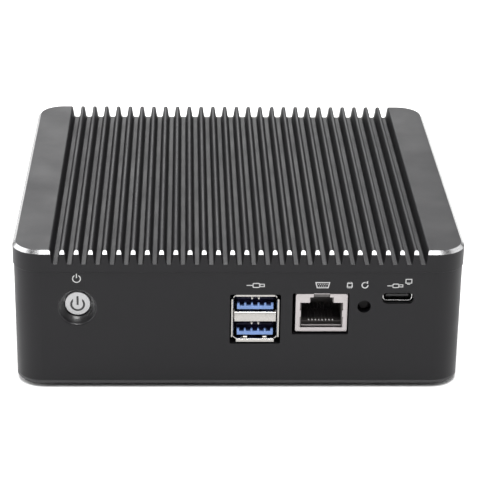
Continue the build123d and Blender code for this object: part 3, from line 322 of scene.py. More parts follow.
# "Facing" is how far a surface's normal points up, for the chamfer, or aside, for the grooves' walls.
lid_half, _, lid_high = place_of("heatsink_lid")[1:]
cap_middle, _, cap_low, cap_high = place_of("power_button")
LID_CORNER, LID_CHAMFER, CHAMFER_SLACK = 8.6, 1.0, 0.04
CHAMFER_FACING = (0.45, 0.9)
BARE_DARK, BARE_LIGHT = (0.3, 0.3, 0.304), (0.38, 0.38, 0.384)
GROOVE_MARGIN, GROOVE_ROUGHNESS = 2.0, 0.7
GROOVE_FACING = (0.35, 0.75)
DISH_REACH, DISH_FADE = 5.8, 0.8
DISH_COAT_ROUGHNESS, DISH_COAT_IOR = 0.32, 2.1
BLACK, BLACK_ROUGHNESS, GLOSS = (0.0086, 0.0083, 0.0096), 0.42, 0.215
CLOUD_SIZE, BLAST_SIZE, BLAST_DEPTH = 14.0, 0.16, 0.006


def outline_distance(finish):
    """How far inside the lid's rounded outline a point is, in metres, as a negative number."""
    x, y, _ = finish.axes(finish.place)
    qx = finish.math("SUBTRACT", finish.math("ABSOLUTE", x), (lid_half.x - LID_CORNER) * MM)
    qy = finish.math("SUBTRACT", finish.math("ABSOLUTE", y), (lid_half.y - LID_CORNER) * MM)
    out_x, out_y = finish.math("MAXIMUM", qx, 0.0), finish.math("MAXIMUM", qy, 0.0)
    x_square, y_square = finish.math("MULTIPLY", out_x, out_x), finish.math("MULTIPLY", out_y, out_y)
    squares = finish.math("ADD", x_square, y_square)
    inner = finish.math("MINIMUM", finish.math("MAXIMUM", qx, qy), 0.0)
    total = finish.math("ADD", finish.math("SQRT", squares), inner)
    return finish.math("SUBTRACT", total, LID_CORNER * MM)


def anodised(name):
    """Bead-blasted black anodising: the finish, with its tone and roughness still to be linked."""
    made = Finish(name, BLACK, BLACK_ROUGHNESS, Specular_IOR_Level=GLOSS)
    cloud = made.noise(CLOUD_SIZE, detail=4.0)
    blast = made.noise(BLAST_SIZE, detail=2.0, rough=0.6)
    fleck = made.ranged(blast, 0.56, 0.74, 0.0, 0.35)
    tone = made.mixed(fleck, made.tint(cloud, 0.92, 1.1), [c * 1.9 for c in BLACK])
    drift = made.math("ADD", cloud, made.math("MULTIPLY", blast, 0.6))
    rough = made.ranged(drift, 0.55, 1.05, 0.37, 0.5)
    made.bump(blast, BLAST_DEPTH, 0.6)
    return made, tone, rough


def lid_anodising():
    """The lid's anodising. Its edge was milled afterwards and is bare; its grooves' walls are duller."""
    made, tone, rough = anodised("anodised_lid")
    z = made.axes(made.place)[2]
    nx, _, nz = made.axes(made.normal)
    edge = outline_distance(made)
    band = made.math("GREATER_THAN", edge, -(LID_CHAMFER + CHAMFER_SLACK) * MM)
    high = made.math("GREATER_THAN", z, (lid_high.z - LID_CHAMFER - CHAMFER_SLACK) * MM)
    least, most = CHAMFER_FACING
    slope = made.math("MULTIPLY", made.math("GREATER_THAN", nz, least), made.math("LESS_THAN", nz, most))
    bare = made.math("MULTIPLY", made.math("MULTIPLY", band, high), slope)
    swirl = made.noise(0.5, detail=3.0, stretch=(1.0, 1.0, 0.15))
    metal = made.mixed(made.ranged(swirl, 0.3, 0.7, 0.0, 1.0), BARE_DARK, BARE_LIGHT)
    steep = made.ranged(made.math("ABSOLUTE", nx), *GROOVE_FACING, 0.0, 1.0)
    wall = made.math("MULTIPLY", steep, made.math("LESS_THAN", edge, -GROOVE_MARGIN * MM))
    rough = made.blended(bare, rough, made.ranged(swirl, 0.3, 0.7, 0.2, 0.34))
    made.use("Metallic", bare)
    made.use("Base Color", made.mixed(bare, tone, metal))
    made.use("Roughness", made.blended(wall, rough, GROOVE_ROUGHNESS))
    return made.material


def case_anodising():
    """The housing's anodising. The power button's dish is glossier, by a clear coat."""
    made, tone, rough = anodised("anodised_case")
    x, y, z = made.axes(made.place)
    aside = made.math("SUBTRACT", x, cap_middle.x * MM)
    above = made.math("SUBTRACT", z, cap_middle.z * MM)
    squares = made.math("ADD", made.math("MULTIPLY", aside, aside), made.math("MULTIPLY", above, above))
    fade_start, fade_end = (DISH_REACH - DISH_FADE) * MM, DISH_REACH * MM
    near = made.ranged(made.math("SQRT", squares), fade_start, fade_end, 1.0, 0.0)
    made.set("Coat Roughness", DISH_COAT_ROUGHNESS)
    made.set("Coat IOR", DISH_COAT_IOR)
    made.use("Coat Weight", made.math("MULTIPLY", near, made.math("LESS_THAN", y, cap_high.y * MM)))
    made.use("Base Color", tone)
    made.use("Roughness", rough)
    return made.material


# The jack inserts are black nylon. This tone is much lighter than that, as painted light inside the
# sockets.
INSERT_TONE_PAINTED_LIGHT = (0.09, 0.082, 0.08)
# Distances from the middle in Y. Within the first, the wires are fully painted with shade; beyond the
# second, they are bare tin.
WIRE_SHADE_FULL_Y, WIRE_SHADE_END_Y = 58.4, 59.1


def wire_finish():
    """Tin-plated wires with painted shade: deeper in their sockets they fade to the inserts' colour and
    stop being metal.
    """
    made = Finish("tin_wire_painted_shade", (0.8, 0.79, 0.77), 0.28, 1.0)
    grain = made.noise(0.2, detail=2.0)
    y = made.axes(made.place)[1]
    # Near is 1 by the socket's mouth. Deeper in, the wire gets painted shade.
    near = made.ranged(made.math("ABSOLUTE", y), WIRE_SHADE_FULL_Y * MM, WIRE_SHADE_END_Y * MM, 0.0, 1.0)
    made.use("Base Color", made.mixed(near, INSERT_TONE_PAINTED_LIGHT, made.tint(grain, 0.92, 1.08)))
    made.use("Metallic", near)
    made.use("Roughness", made.ranged(grain, 0.3, 0.7, 0.22, 0.34))
    return made.material


# Each row: colour, roughness, metallic, grain, bump depth, and how far the tone drifts.
PLAIN_FINISHES = {
    "nickel_sheet": ((0.36, 0.348, 0.332), 0.24, 1.0, 0.35, 0.003, 0.05),
    "polished_nickel": ((0.78, 0.77, 0.76), 0.3, 1.0, 0.2, 0.002, 0.04),
    "nickel_frame": ((0.365, 0.342, 0.342), 0.33, 1.0, 0.3, 0.004, 0.05),
    # The next row is the tongues' blue made darker: painted shade for the core and the tongues' rear parts
    # inside the slots.
    "blue_nylon_painted_shade": ((0.022, 0.02, 0.07), 0.4, 0.0, 0.2, 0.003, 0.1),
    "blue_nylon": ((0.17, 0.29, 0.6), 0.35, 0.0, 0.2, 0.003, 0.1),
    "insert_nylon_painted_light": (INSERT_TONE_PAINTED_LIGHT, 0.45, 0.0, 0.25, 0.004, 0.1),
    "black_nylon": ((0.012, 0.012, 0.013), 0.4, 0.0, 0.25, 0.004, 0.15),
    "gold_plate": ((0.86, 0.72, 0.48), 0.25, 1.0, 0.2, 0.002, 0.06),
    "blasted_silver": ((0.39, 0.39, 0.395), 0.42, 1.0, 0.14, 0.006, 0.05),
    "zinc_plate": ((0.62, 0.62, 0.63), 0.3, 1.0, 0.3, 0.004, 0.1),
    "black_oxide": ((0.03, 0.03, 0.031), 0.38, 0.7, 0.2, 0.004, 0.2),
    "powder_coat": ((0.022, 0.022, 0.024), 0.48, 0.0, 0.5, 0.02, 0.12),
    "foot_rubber": ((0.018, 0.018, 0.018), 0.75, 0.0, 0.6, 0.03, 0.2),
    "turned_brass": ((0.78, 0.58, 0.3), 0.28, 1.0, 0.3, 0.004, 0.08),
    "board_laminate": ((0.02, 0.085, 0.045), 0.32, 0.0, 0.8, 0.01, 0.15),
    "silicon_die": ((0.1, 0.1, 0.12), 0.12, 0.3, 0.4, 0.001, 0.1),
    "milled_copper": ((0.82, 0.42, 0.28), 0.3, 1.0, 0.4, 0.006, 0.08),
    "thermal_silicone": ((0.42, 0.47, 0.56), 0.7, 0.0, 0.5, 0.02, 0.08),
    "chip_epoxy": ((0.02, 0.02, 0.021), 0.6, 0.0, 0.25, 0.008, 0.15),
    "drawn_aluminium": ((0.74, 0.74, 0.75), 0.28, 1.0, 0.3, 0.004, 0.06),
    "lamp_lens": ((0.62, 0.68, 0.5), 0.25, 0.0, 0.3, 0.003, 0.08),
    "white_ink": ((0.5, 0.5, 0.5), 0.55, 0.0, 0.12, 0.003, 0.06),
    "grey_ink": ((0.028, 0.028, 0.03), 0.5, 0.0, 0.12, 0.003, 0.15),
}
SHADED_NYLON = ((0.012, 0.011, 0.011), 0.6, 0.0, 0.2, 0.004, 0.1)
SHADED_GLOSS = 0.15
finishes = {name: plain_finish(name, *row) for name, row in PLAIN_FINISHES.items()}
finishes["shaded_nylon"] = plain_finish("shaded_nylon", *SHADED_NYLON, Specular_IOR_Level=SHADED_GLOSS)
finishes["tin_wire_painted_shade"] = wire_finish()
finishes["anodised_lid"] = lid_anodising()
finishes["anodised_case"] = case_anodising()

FINISH_OF_SLOT = {
    "anodised_black": "anodised_case",
    "coated_steel": "powder_coat",
    "black_steel": "black_oxide",
    "foot_rubber": "foot_rubber",
    "zinc_steel": "zinc_plate",
    "button_silver": "blasted_silver",
    "black_plastic": "black_nylon",
    "nickel_shell": "nickel_sheet",
    "blue_plastic": "blue_nylon",
    "gold_contacts": "gold_plate",
    "lamp_lens": "lamp_lens",
    "brass_pin": "turned_brass",
    "board_laminate": "board_laminate",
    "silicon": "silicon_die",
    "copper_plate": "milled_copper",
    "pad_silicone": "thermal_silicone",
    "chip_plastic": "chip_epoxy",
    "can_aluminium": "drawn_aluminium",
}
# The nodes that look different from the rest of their slot.
FINISH_OF_NODE = {
    "heatsink_lid": "anodised_lid",
    # The jack inserts' finish has painted light: black nylon made lighter inside the sockets.
    "serial_jack_insert": "insert_nylon_painted_light",
    "lan_jack_insert_1": "insert_nylon_painted_light",
    "lan_jack_insert_2": "insert_nylon_painted_light",
    "lan_jack_insert_3": "insert_nylon_painted_light",
    "lan_jack_insert_4": "insert_nylon_painted_light",
    # The jack contacts' finish has painted shade: the wires fade to the inserts' colour deeper in.
    "serial_jack_contacts": "tin_wire_painted_shade",
    "lan_jack_contacts": "tin_wire_painted_shade",
    "reset_button": "shaded_nylon",
}
slot_of_node = {row["node"]: row["material_slot"] for row in frame["record"]["subparts"]}
for node, piece in nodes.items():
    finish_name = FINISH_OF_NODE.get(node, FINISH_OF_SLOT[slot_of_node[node]])
    piece.material_slots[0].material = finishes[finish_name]


# ======================= Sockets =======================
# Each is made around its own mouth: Y = 0 is the mouth and +Y goes in.


def stood(made, x, y, z, rear=False):
    """Moves a shape from its own mouth to its place on the front or the rear wall."""
    turn = Matrix.Rotation(math.pi if rear else 0.0, 4, "Z")
    bmesh.ops.transform(made, matrix=Matrix.Translation((x, y, z)) @ turn, verts=made.verts)
    return made


def mouth_of(node, rear=False):
    """The middle of a socket's width, its mouth's depth and its lowest and middle heights."""
    middle, _, low, high = place_of(node)
    return middle.x, (high.y if rear else low.y), low.z, middle.z


SHEET = 0.3
LIP_BEND, LIP_STEPS, LIP_TIP, LIP_TAIL = math.radians(75.0), 7, 0.1, 0.8
FLANGE_TAIL = 1.3
USB_INNER_X, USB_INNER_LOW, USB_INNER_HIGH = 6.3, -6.65, 7.05
USB_OUTER_R, USB_INNER_R = 1.0, 0.75
USB_TUBE_START, USB_CORE_FRONT, USB_DEPTH = 0.9, 8.5, 17.4
USB_SLOTS, USB_SLOT_HALF = (4.65, -3.8), 2.62
SIDE_LIP_ENDS, SIDE_LIP_REACH = (-6.05, 6.35), 0.88
TOP_LIP_HALF, TOP_LIP_REACH = 5.7, 0.85
LOW_LIP_HALF, LOW_LIP_REACH = 5.65, 1.0
WEB_HALF, WEB_FRONT, WEB_BACK = 6.12, 0.35, 9.0
DIMPLE_X, DIMPLE_Y, DIMPLE_DROP, DIMPLE_R, DIMPLE_STRETCH = 1.0, 0.65, 0.42, 0.38, 1.5
SPRING_X, SPRING_HALF = 2.92, 0.58
TONGUE_FRONT, TONGUE_NOSE, TONGUE_HALF, TONGUE_LOW, TONGUE_HIGH = 0.9, 0.9, 5.38, -1.9, 0.1
NOTCH_COUNT, NOTCH_HALF, NOTCH_DROP, NOTCH_PITCH, NOTCH_DEPTH = 5, 0.7, 0.85, 1.98, 3.0
USB_CONTACT_X, USB_CONTACT_HALF, USB_CONTACT_END = (-3.5, -1.0, 1.0, 3.5), 0.5, 8.6
USB3_CONTACT_START, USB2_CONTACT_START = 6.3, 2.4


def lip_section(reach):
    """The section of a sheet lip that curls outwards, as (out, y) pairs from the tube's inner face."""
    radius = (reach - LIP_TIP) / (1 - math.cos(LIP_BEND))
    start = radius * math.sin(LIP_BEND)
    turns = [LIP_BEND * i / LIP_STEPS for i in range(LIP_STEPS + 1)]
    inner = [(radius - radius * math.cos(t), start - radius * math.sin(t)) for t in turns]
    thin = radius - SHEET
    outer = [(radius - thin * math.cos(t), start - thin * math.sin(t)) for t in reversed(turns)]
    return [(0.0, start + LIP_TAIL), *inner, *outer, (SHEET, start + LIP_TAIL)]


def flange_section(reach):
    """The section of a sheet lip that folds sharply outwards and then runs flat."""
    front = [(0.02, 0.4), (0.08, 0.18), (0.2, 0.05), (0.35, 0.0), (reach - 0.06, 0.0), (reach, 0.08)]
    back = [(reach, 0.24), (reach - 0.06, SHEET), (0.45, SHEET + 0.03), (SHEET + 0.02, 0.5)]
    return [(0.0, FLANGE_TAIL), *front, *back, (SHEET, FLANGE_TAIL)]


def dimple(x, y, z):
    """A small pressed dimple."""
    made = bmesh.new()
    bmesh.ops.create_uvsphere(made, u_segments=18, v_segments=12, radius=DIMPLE_R)
    bmesh.ops.scale(made, vec=(1.0, 1.0, DIMPLE_STRETCH), verts=made.verts)
    bmesh.ops.translate(made, vec=(x, y, z), verts=made.verts)
    return made


def usb_web(web_low, web_high):
    """The sheet between the two slots: a folded front, and a block behind it that meets the tube."""
    rise = web_high - web_low
    fold = [
        (0.0, WEB_FRONT + 0.2),
        (0.2, WEB_FRONT),
        (rise - 0.32, WEB_FRONT),
        (rise - 0.25, WEB_FRONT + 0.03),
        (rise - 0.04, WEB_FRONT + 0.26),
        (rise, WEB_FRONT + 0.35),
    ]
    section = [*fold, (rise, WEB_BACK), (0.0, WEB_BACK)]
    front = swept([(x, web_low, 0, 1) for x in (-WEB_HALF, WEB_HALF)], section)
    inner = USB_INNER_X + 0.1
    return [front, slab((-inner, 2.0, web_low + 0.1), (inner, WEB_BACK - 0.1, web_high - 0.1))]


def usb_shell():
    """Two stacked USB-A openings in folded sheet: tube, four lips, the web, dimples and spring tabs."""
    mid = (USB_INNER_LOW + USB_INNER_HIGH) / 2
    width, height = 2 * USB_INNER_X, USB_INNER_HIGH - USB_INNER_LOW
    outline = rounded(width + 2 * SHEET, height + 2 * SHEET, USB_OUTER_R, z=mid)
    hole = rounded(width, height, USB_INNER_R, z=mid)
    parts = [plate([outline, hole], USB_TUBE_START, USB_DEPTH - USB_TUBE_START, edge=0.05)]
    for side in (-1, 1):
        path = [(side * USB_INNER_X, z, side, 0) for z in SIDE_LIP_ENDS]
        parts.append(swept(path, lip_section(SIDE_LIP_REACH)))
    top = [(x, USB_INNER_HIGH, 0, 1) for x in (-TOP_LIP_HALF, TOP_LIP_HALF)]
    bottom = [(x, USB_INNER_LOW, 0, -1) for x in (-LOW_LIP_HALF, LOW_LIP_HALF)]
    parts.append(swept(top, flange_section(TOP_LIP_REACH)))
    parts.append(swept(bottom, flange_section(LOW_LIP_REACH)))
    web_low, web_high = USB_SLOTS[1] + USB_SLOT_HALF, USB_SLOTS[0] - USB_SLOT_HALF
    parts += usb_web(web_low, web_high)
    for ceiling in (USB_INNER_HIGH, web_low):
        for x in (-DIMPLE_X, DIMPLE_X):
            parts.append(dimple(x, DIMPLE_Y, ceiling - DIMPLE_DROP))
    spring_front = [(0.1, 0.6), (0.16, 0.5), (0.6, 0.46), (0.68, 0.55), (0.66, 1.2)]
    spring_back = [(0.2, 5.5), (0.0, 6.0), (0.0, 1.0)]
    for x in (-SPRING_X, SPRING_X):
        path = [(x + dx, USB_INNER_LOW - 0.02, 0, 1) for dx in (-SPRING_HALF, SPRING_HALF)]
        parts.append(swept(path, [*spring_front, *spring_back]))
    return joined("usb_shell", parts)


def usb_core(board_z, notches):
    """The plastic in the rear of both slots, which runs up to the board, and the tongues' rear parts. On
    the USB 3 stack it takes a darker copy of the tongues' blue, as painted shade inside the slots.
    """
    low, high = USB_INNER_LOW + 0.02, USB_INNER_HIGH - 0.02
    inner = USB_INNER_X - 0.02
    body = slab((-inner, USB_CORE_FRONT, low), (inner, USB_DEPTH, high), edge=0.1)
    rear = slab((-inner, USB_DEPTH - 1.6, high - 0.5), (inner, USB_DEPTH + 0.6, board_z), edge=0.1)
    return joined("usb_core", [body, rear, *usb_tongue_bodies(notches)])


def usb_tongues(notches):
    """The front of the tongue in each slot. A USB 3 tongue has a row of notches along its top edge."""
    parts = []
    for slot in USB_SLOTS:
        low, high = slot + TONGUE_LOW, slot + TONGUE_HIGH
        if notches:
            outline = [(-TONGUE_HALF, low), (TONGUE_HALF, low), (TONGUE_HALF, high)]
            for i in reversed(range(notches)):
                middle = NOTCH_PITCH * (i - (notches - 1) / 2)
                right, left, floor_z = middle + NOTCH_HALF, middle - NOTCH_HALF, high - NOTCH_DROP
                outline += [(right, high), (right, floor_z), (left, floor_z), (left, high)]
            outline.append((-TONGUE_HALF, high))
            parts.append(plate([outline], TONGUE_FRONT, TONGUE_NOSE, edge=0.09, edge_steps=3))
        else:
            nose_end = TONGUE_FRONT + TONGUE_NOSE
            nose = slab((-TONGUE_HALF, TONGUE_FRONT, low), (TONGUE_HALF, nose_end, high), edge=0.12)
            parts.append(nose)
    return joined("usb_tongues", parts)


def usb_tongue_bodies(notches):
    """The tongues behind their fronts, with a hollow behind the notches. They lie in the shell's shade,
    which on the USB 3 stack is painted into their darker copy of the fronts' blue.
    """
    start, end = TONGUE_FRONT + TONGUE_NOSE - 0.1, USB_CORE_FRONT + 0.2
    hollow = NOTCH_DEPTH if notches else 0.0
    parts = []
    for slot in USB_SLOTS:
        low, high = slot + TONGUE_LOW + 0.01, slot + TONGUE_HIGH - 0.01
        step_z = high - NOTCH_DROP
        upper_start = (-TONGUE_HALF, start + hollow, step_z - 0.2)
        parts.append(slab((-TONGUE_HALF, start, low), (TONGUE_HALF, end, step_z), edge=0.08))
        parts.append(slab(upper_start, (TONGUE_HALF, end, high), edge=0.08))
    return parts


def usb_contacts(start):
    """Four gold strips on each tongue, with rounded fronts."""
    parts = []
    for slot in USB_SLOTS:
        low, high = slot + TONGUE_HIGH - 0.05, slot + TONGUE_HIGH + 0.1
        for x in USB_CONTACT_X:
            left, right = x - USB_CONTACT_HALF, x + USB_CONTACT_HALF
            parts.append(slab((left, start, low), (right, USB_CONTACT_END, high), edge=0.06))
    return joined("usb_contacts", parts)


JACK_WIDTH, JACK_HEIGHT = 15.5, 12.45
JACK_FLOOR, JACK_WINDOW_HIGH, JACK_STEP_HIGH = 1.4, 9.5, 11.25
JACK_WINDOW_HALF, JACK_STEP_HALF, JACK_LATCH_HALF = 6.35, 3.5, 2.4
JACK_CORNER_R, JACK_FACE, JACK_FACE_EDGE = 0.7, 0.5, 0.08
JACK_SPRING, JACK_SPRING_HEIGHTS = 0.22, (7.35, 7.2, 7.0, 4.9, 4.7, 4.55)
JACK_LIP_HALF, JACK_LIP_Y = 6.05, (0.8, 1.8)
LAMP_X, LAMP_WIDTH, LAMP_LOW, LAMP_HIGH = 5.6, 2.9, 10.0, 11.7


def jack_shell(depth, lamps):
    """An RJ45 shield: the stepped face, open at the top of its latch notch, and the box behind it."""
    mid = JACK_HEIGHT / 2
    corners = rounded(JACK_WIDTH, JACK_HEIGHT, JACK_CORNER_R, z=mid)
    count = CORNER_STEPS + 1
    right_top, left_top, left_low, right_low = (corners[count * i : count * (i + 1)] for i in range(4))
    window, out, back = JACK_WINDOW_HALF, JACK_WINDOW_HALF + JACK_SPRING, JACK_WINDOW_HALF - JACK_SPRING
    inner = [
        (JACK_LATCH_HALF, JACK_HEIGHT),
        (JACK_LATCH_HALF, JACK_STEP_HIGH),
        (JACK_STEP_HALF, JACK_STEP_HIGH),
        (JACK_STEP_HALF, JACK_WINDOW_HIGH),
        (window, JACK_WINDOW_HIGH),
        *zip((window, out, back, back, out, window), JACK_SPRING_HEIGHTS),
        (window, JACK_FLOOR),
    ]
    outline = [(-x, z) for x, z in inner] + inner[::-1]
    for corner in (right_top, right_low, left_low, left_top):
        outline += corner[::-1]
    loops = [outline]
    if lamps:
        lamp_z = (LAMP_LOW + LAMP_HIGH) / 2
        for side in (-1, 1):
            hole = rounded(LAMP_WIDTH, LAMP_HIGH - LAMP_LOW, 0.1, side * LAMP_X, lamp_z, steps=2)
            loops.append(hole)
    face = plate(loops, 0.0, JACK_FACE, edge=JACK_FACE_EDGE)
    tube_outline = rounded(JACK_WIDTH, JACK_HEIGHT, 0.5, z=mid)
    tube_hole = rounded(JACK_WIDTH - 2 * SHEET, JACK_HEIGHT - 2 * SHEET, 0.3, z=mid)
    tube_start = JACK_FACE - JACK_FACE_EDGE
    tube = plate([tube_outline, tube_hole], tube_start, depth - tube_start, edge=0.04)
    lip_start = (-JACK_LIP_HALF, JACK_LIP_Y[0], JACK_FLOOR + 0.1)
    lip_end = (JACK_LIP_HALF, JACK_LIP_Y[1], JACK_FLOOR + 0.62)
    lip = slab(lip_start, lip_end, edge=0.12)
    return joined("jack_shell", [face, tube, lip])


VIDEO_COUNT, VIDEO_PITCH, VIDEO_WIDTH, VIDEO_PROUD = 10, 1.0, 0.42, 0.03


def video_contacts(x, z, y_start, y_end):
    """A row of gold contacts on one face of a video socket's tongue."""
    parts = []
    for i in range(VIDEO_COUNT):
        middle = x + VIDEO_PITCH * (i - (VIDEO_COUNT - 1) / 2)
        low = (middle - VIDEO_WIDTH / 2, y_start, z - VIDEO_PROUD)
        high = (middle + VIDEO_WIDTH / 2, y_end, z + VIDEO_PROUD)
        parts.append(slab(low, high, edge=0.02, steps=1))
    return joined("video_contacts", parts)


def add_usb_stack(label, rear, plastic, painted_shade_plastic, slot, notches, contact_start):
    """The shell, core, tongues and contacts of a pair of stacked USB-A sockets. The core and the tongues'
    rear parts take the second plastic. On the USB 3 stack that is a darker copy of the blue, with the
    slots' shade painted in; on the USB 2 stack it is the same black nylon.
    """
    x, mouth_y, _, mid_z = mouth_of(f"{label}_shell", rear)
    board_z = place_of("motherboard")[2].z - mid_z
    shell, insulator, contacts = ([f"{label}_{part}"] for part in ("shell", "insulator", "contacts"))
    for part, made, finish, part_slot, replaced in (
        ("shell_sheet", usb_shell(), "nickel_sheet", "nickel_shell", shell),
        ("core", usb_core(board_z, notches), painted_shade_plastic, slot, insulator),
        ("tongues", usb_tongues(notches), plastic, slot, insulator),
        ("strips", usb_contacts(contact_start), "gold_plate", "gold_contacts", contacts),
    ):
        name = f"{label}_{part}"
        mesh = mesh_from(name, stood(made, x, mouth_y, mid_z, rear))
        add_piece(name, mesh, finish, replaces=replaced)


add_usb_stack(
    "usb3", False, "blue_nylon", "blue_nylon_painted_shade", "blue_plastic", NOTCH_COUNT, USB3_CONTACT_START
)
add_usb_stack("usb2", True, "black_nylon", "black_nylon", "black_plastic", 0, USB2_CONTACT_START)

USB_C_SHEET, USB_C_CORNER = 0.32, 1.3
x, mouth_y, _, mid_z = mouth_of("usb_c_shell")
usb_c_half = place_of("usb_c_shell")[1]
outside, inside = (
    rounded(2 * (usb_c_half.x - inset), 2 * (usb_c_half.z - inset), USB_C_CORNER - inset, steps=12)
    for inset in (0.0, USB_C_SHEET)
)
usb_c_tube = plate([outside, inside], 0.0, 2 * usb_c_half.y, edge=0.14, edge_steps=4)
usb_c = mesh_from("usb_c_sheet", stood(usb_c_tube, x, mouth_y, mid_z))
add_piece("usb_c_sheet", usb_c, "polished_nickel", replaces=["usb_c_shell"])

x, mouth_y, low_z, _ = mouth_of("serial_jack_shield")
serial_depth = 2 * place_of("serial_jack_shield")[1].y
serial = mesh_from("serial_jack_face", stood(jack_shell(serial_depth, False), x, mouth_y, low_z))
add_piece("serial_jack_face", serial, "nickel_frame", replaces=["serial_jack_shield"])

lan_low, lan_high = place_of("lan_jack_shields")[2:]
lan_depth = lan_high.y - lan_low.y
lan_faces = []
for number in range(1, 5):
    jack_x = place_of(f"lan_jack_insert_{number}")[0].x
    lan_faces.append(stood(jack_shell(lan_depth, True), jack_x, lan_high.y, lan_low.z, True))
lan_mesh = mesh_from("lan_jack_faces", joined("lan_jack_faces", lan_faces))
add_piece("lan_jack_faces", lan_mesh, "nickel_frame", replaces=["lan_jack_shields"])

for label in ("hdmi", "displayport"):
    middle, _, low, high = place_of(f"{label}_tongue")
    rows = [video_contacts(middle.x, z, low.y + 1.0, high.y - 0.5) for z in (low.z, high.z)]
    strips = mesh_from(f"{label}_strips", joined(f"{label}_strips", rows))
    add_piece(f"{label}_strips", strips, "gold_plate")


# ======================= Marks on the front =======================


def ring_mark(x, z, outer, inner, gap_half):
    """A ring with an upright-sided gap at its top, as on a power symbol."""
    outer_turn = math.degrees(math.acos(gap_half / outer))
    inner_turn = math.degrees(math.acos(gap_half / inner))
    around = ring_points(outer, x, z, outer_turn, -180.0 - outer_turn, 72)
    back = ring_points(inner, x, z, -180.0 - inner_turn, inner_turn, 72)
    return around + back


def bar(x, z, width, height):
    """A rectangle's outline, about its middle."""
    right, top = x + width / 2, z + height / 2
    left, bottom = x - width / 2, z - height / 2
    return [(left, bottom), (right, bottom), (right, top), (left, top)]


SYMBOL_DROP, SYMBOL_R, SYMBOL_STROKE, SYMBOL_GAP_HALF = 0.25, 1.9, 0.62, 1.33
SYMBOL_BAR_LOW, SYMBOL_BAR_HIGH = -0.5, 2.4
# The gap between the engraving's walls and the ink in it.
SLIP = 0.012
ring = ring_mark(
    cap_middle.x,
    cap_middle.z - SYMBOL_DROP,
    SYMBOL_R + SYMBOL_STROKE / 2 - SLIP,
    SYMBOL_R - SYMBOL_STROKE / 2 + SLIP,
    SYMBOL_GAP_HALF + SLIP,
)
upright = bar(
    cap_middle.x,
    cap_middle.z + (SYMBOL_BAR_LOW + SYMBOL_BAR_HIGH) / 2,
    SYMBOL_STROKE - 2 * SLIP,
    SYMBOL_BAR_HIGH - SYMBOL_BAR_LOW - 2 * SLIP,
)
ink_y, ink_depth = cap_low.y + 0.05, 0.1
ink_fill = joined("symbol_ink", [plate([ring], ink_y, ink_depth), plate([upright], ink_y, ink_depth)])
symbol_ink = mesh_from("symbol_ink", ink_fill)
add_piece("symbol_ink", symbol_ink, "grey_ink", body="power_button")

front_y = place_of("main_housing")[2].y
PRINT = 0.02


def printed(name, shapes):
    """A pictogram printed on the front wall. Each shape is a list of loops: an outline and its holes."""
    parts = [plate(loops, front_y - PRINT, 2 * PRINT) for loops in shapes]
    add_piece(name, mesh_from(name, joined(name, parts)), "white_ink")


def frame_mark(x, z, width, height, stroke, radius):
    """A rounded outline of even stroke."""
    inner_radius = max(0.05, radius - stroke)
    return [
        rounded(width, height, radius, x, z, steps=4),
        rounded(width - 2 * stroke, height - 2 * stroke, inner_radius, x, z, steps=4),
    ]


def plug_mark(x, z, size=1.0):
    """A generic plug on a lead: a lead, a body and a narrower blade, in outline."""
    body = frame_mark(x, z, 2.2 * size, 1.6 * size, 0.3 * size, 0.4 * size)
    blade = frame_mark(x + 1.75 * size, z, 1.5 * size, 1.05 * size, 0.26 * size, 0.1 * size)
    lead = bar(x - 1.95 * size, z, 1.8 * size, 0.28 * size)
    return [body, blade, [lead]]


POWER_MARK_Z, POWER_MARK_OUTER, POWER_MARK_INNER, POWER_MARK_GAP_HALF = 35.9, 1.3, 1.0, 0.58
LABEL_Z = 33.9
USB_MARK, USB_C_MARK, USB_C_MARK_SIZE = (5.0, 33.8), (46.2, 33.7), 0.88
SERIAL_MARK_X, CHIP_MARK_X, ARROW_MARK_X = 24.6, 32.6, 37.1
SCREEN_MARK_X, SCREEN_MARK_Z = 50.0, 35.2
SOCKET_OUTLINE = [(-2.2, 1.0), (2.2, 1.0), (1.75, -1.0), (-1.75, -1.0)]
PIN_R, PIN_PITCH = 0.15, 0.62
ARROW_OUTER, ARROW_INNER = 1.05, 0.72

power_ring = ring_mark(
    cap_middle.x, POWER_MARK_Z, POWER_MARK_OUTER, POWER_MARK_INNER, POWER_MARK_GAP_HALF
)
printed("power_mark", [[power_ring], [bar(cap_middle.x, POWER_MARK_Z + 0.92, 0.3, 1.4)]])
printed("usb_mark", plug_mark(*USB_MARK))

serial_outline = [(SERIAL_MARK_X + dx, LABEL_Z + dz) for dx, dz in SOCKET_OUTLINE]
serial_inside = [(SERIAL_MARK_X + 0.83 * dx, LABEL_Z + 0.68 * dz) for dx, dz in SOCKET_OUTLINE]
pins = [
    [ring_points(PIN_R, SERIAL_MARK_X + PIN_PITCH * (i - (count - 1) / 2), LABEL_Z + dz, steps=20)]
    for count, dz in ((5, 0.28), (4, -0.3))
    for i in range(count)
]
printed("serial_mark", [[serial_outline, serial_inside], *pins])

chip_shapes = [frame_mark(CHIP_MARK_X, LABEL_Z, 1.7, 1.5, 0.3, 0.1)]
for dx in (-0.5, 0.0, 0.5):
    chip_shapes += [[bar(CHIP_MARK_X + dx, LABEL_Z + dz, 0.2, 0.36)] for dz in (-0.88, 0.88)]
printed("board_memory_mark", chip_shapes)

turn_arrow = [
    *ring_points(ARROW_OUTER, ARROW_MARK_X, LABEL_Z, 60, 360, 48),
    *ring_points(ARROW_INNER, ARROW_MARK_X, LABEL_Z, 360, 60, 48),
]
arrow_head = [(ARROW_MARK_X + dx, LABEL_Z + dz) for dx, dz in ((0.05, 0.88), (0.85, 1.35), (0.85, 0.35))]
printed("reset_mark", [[turn_arrow], [arrow_head]])

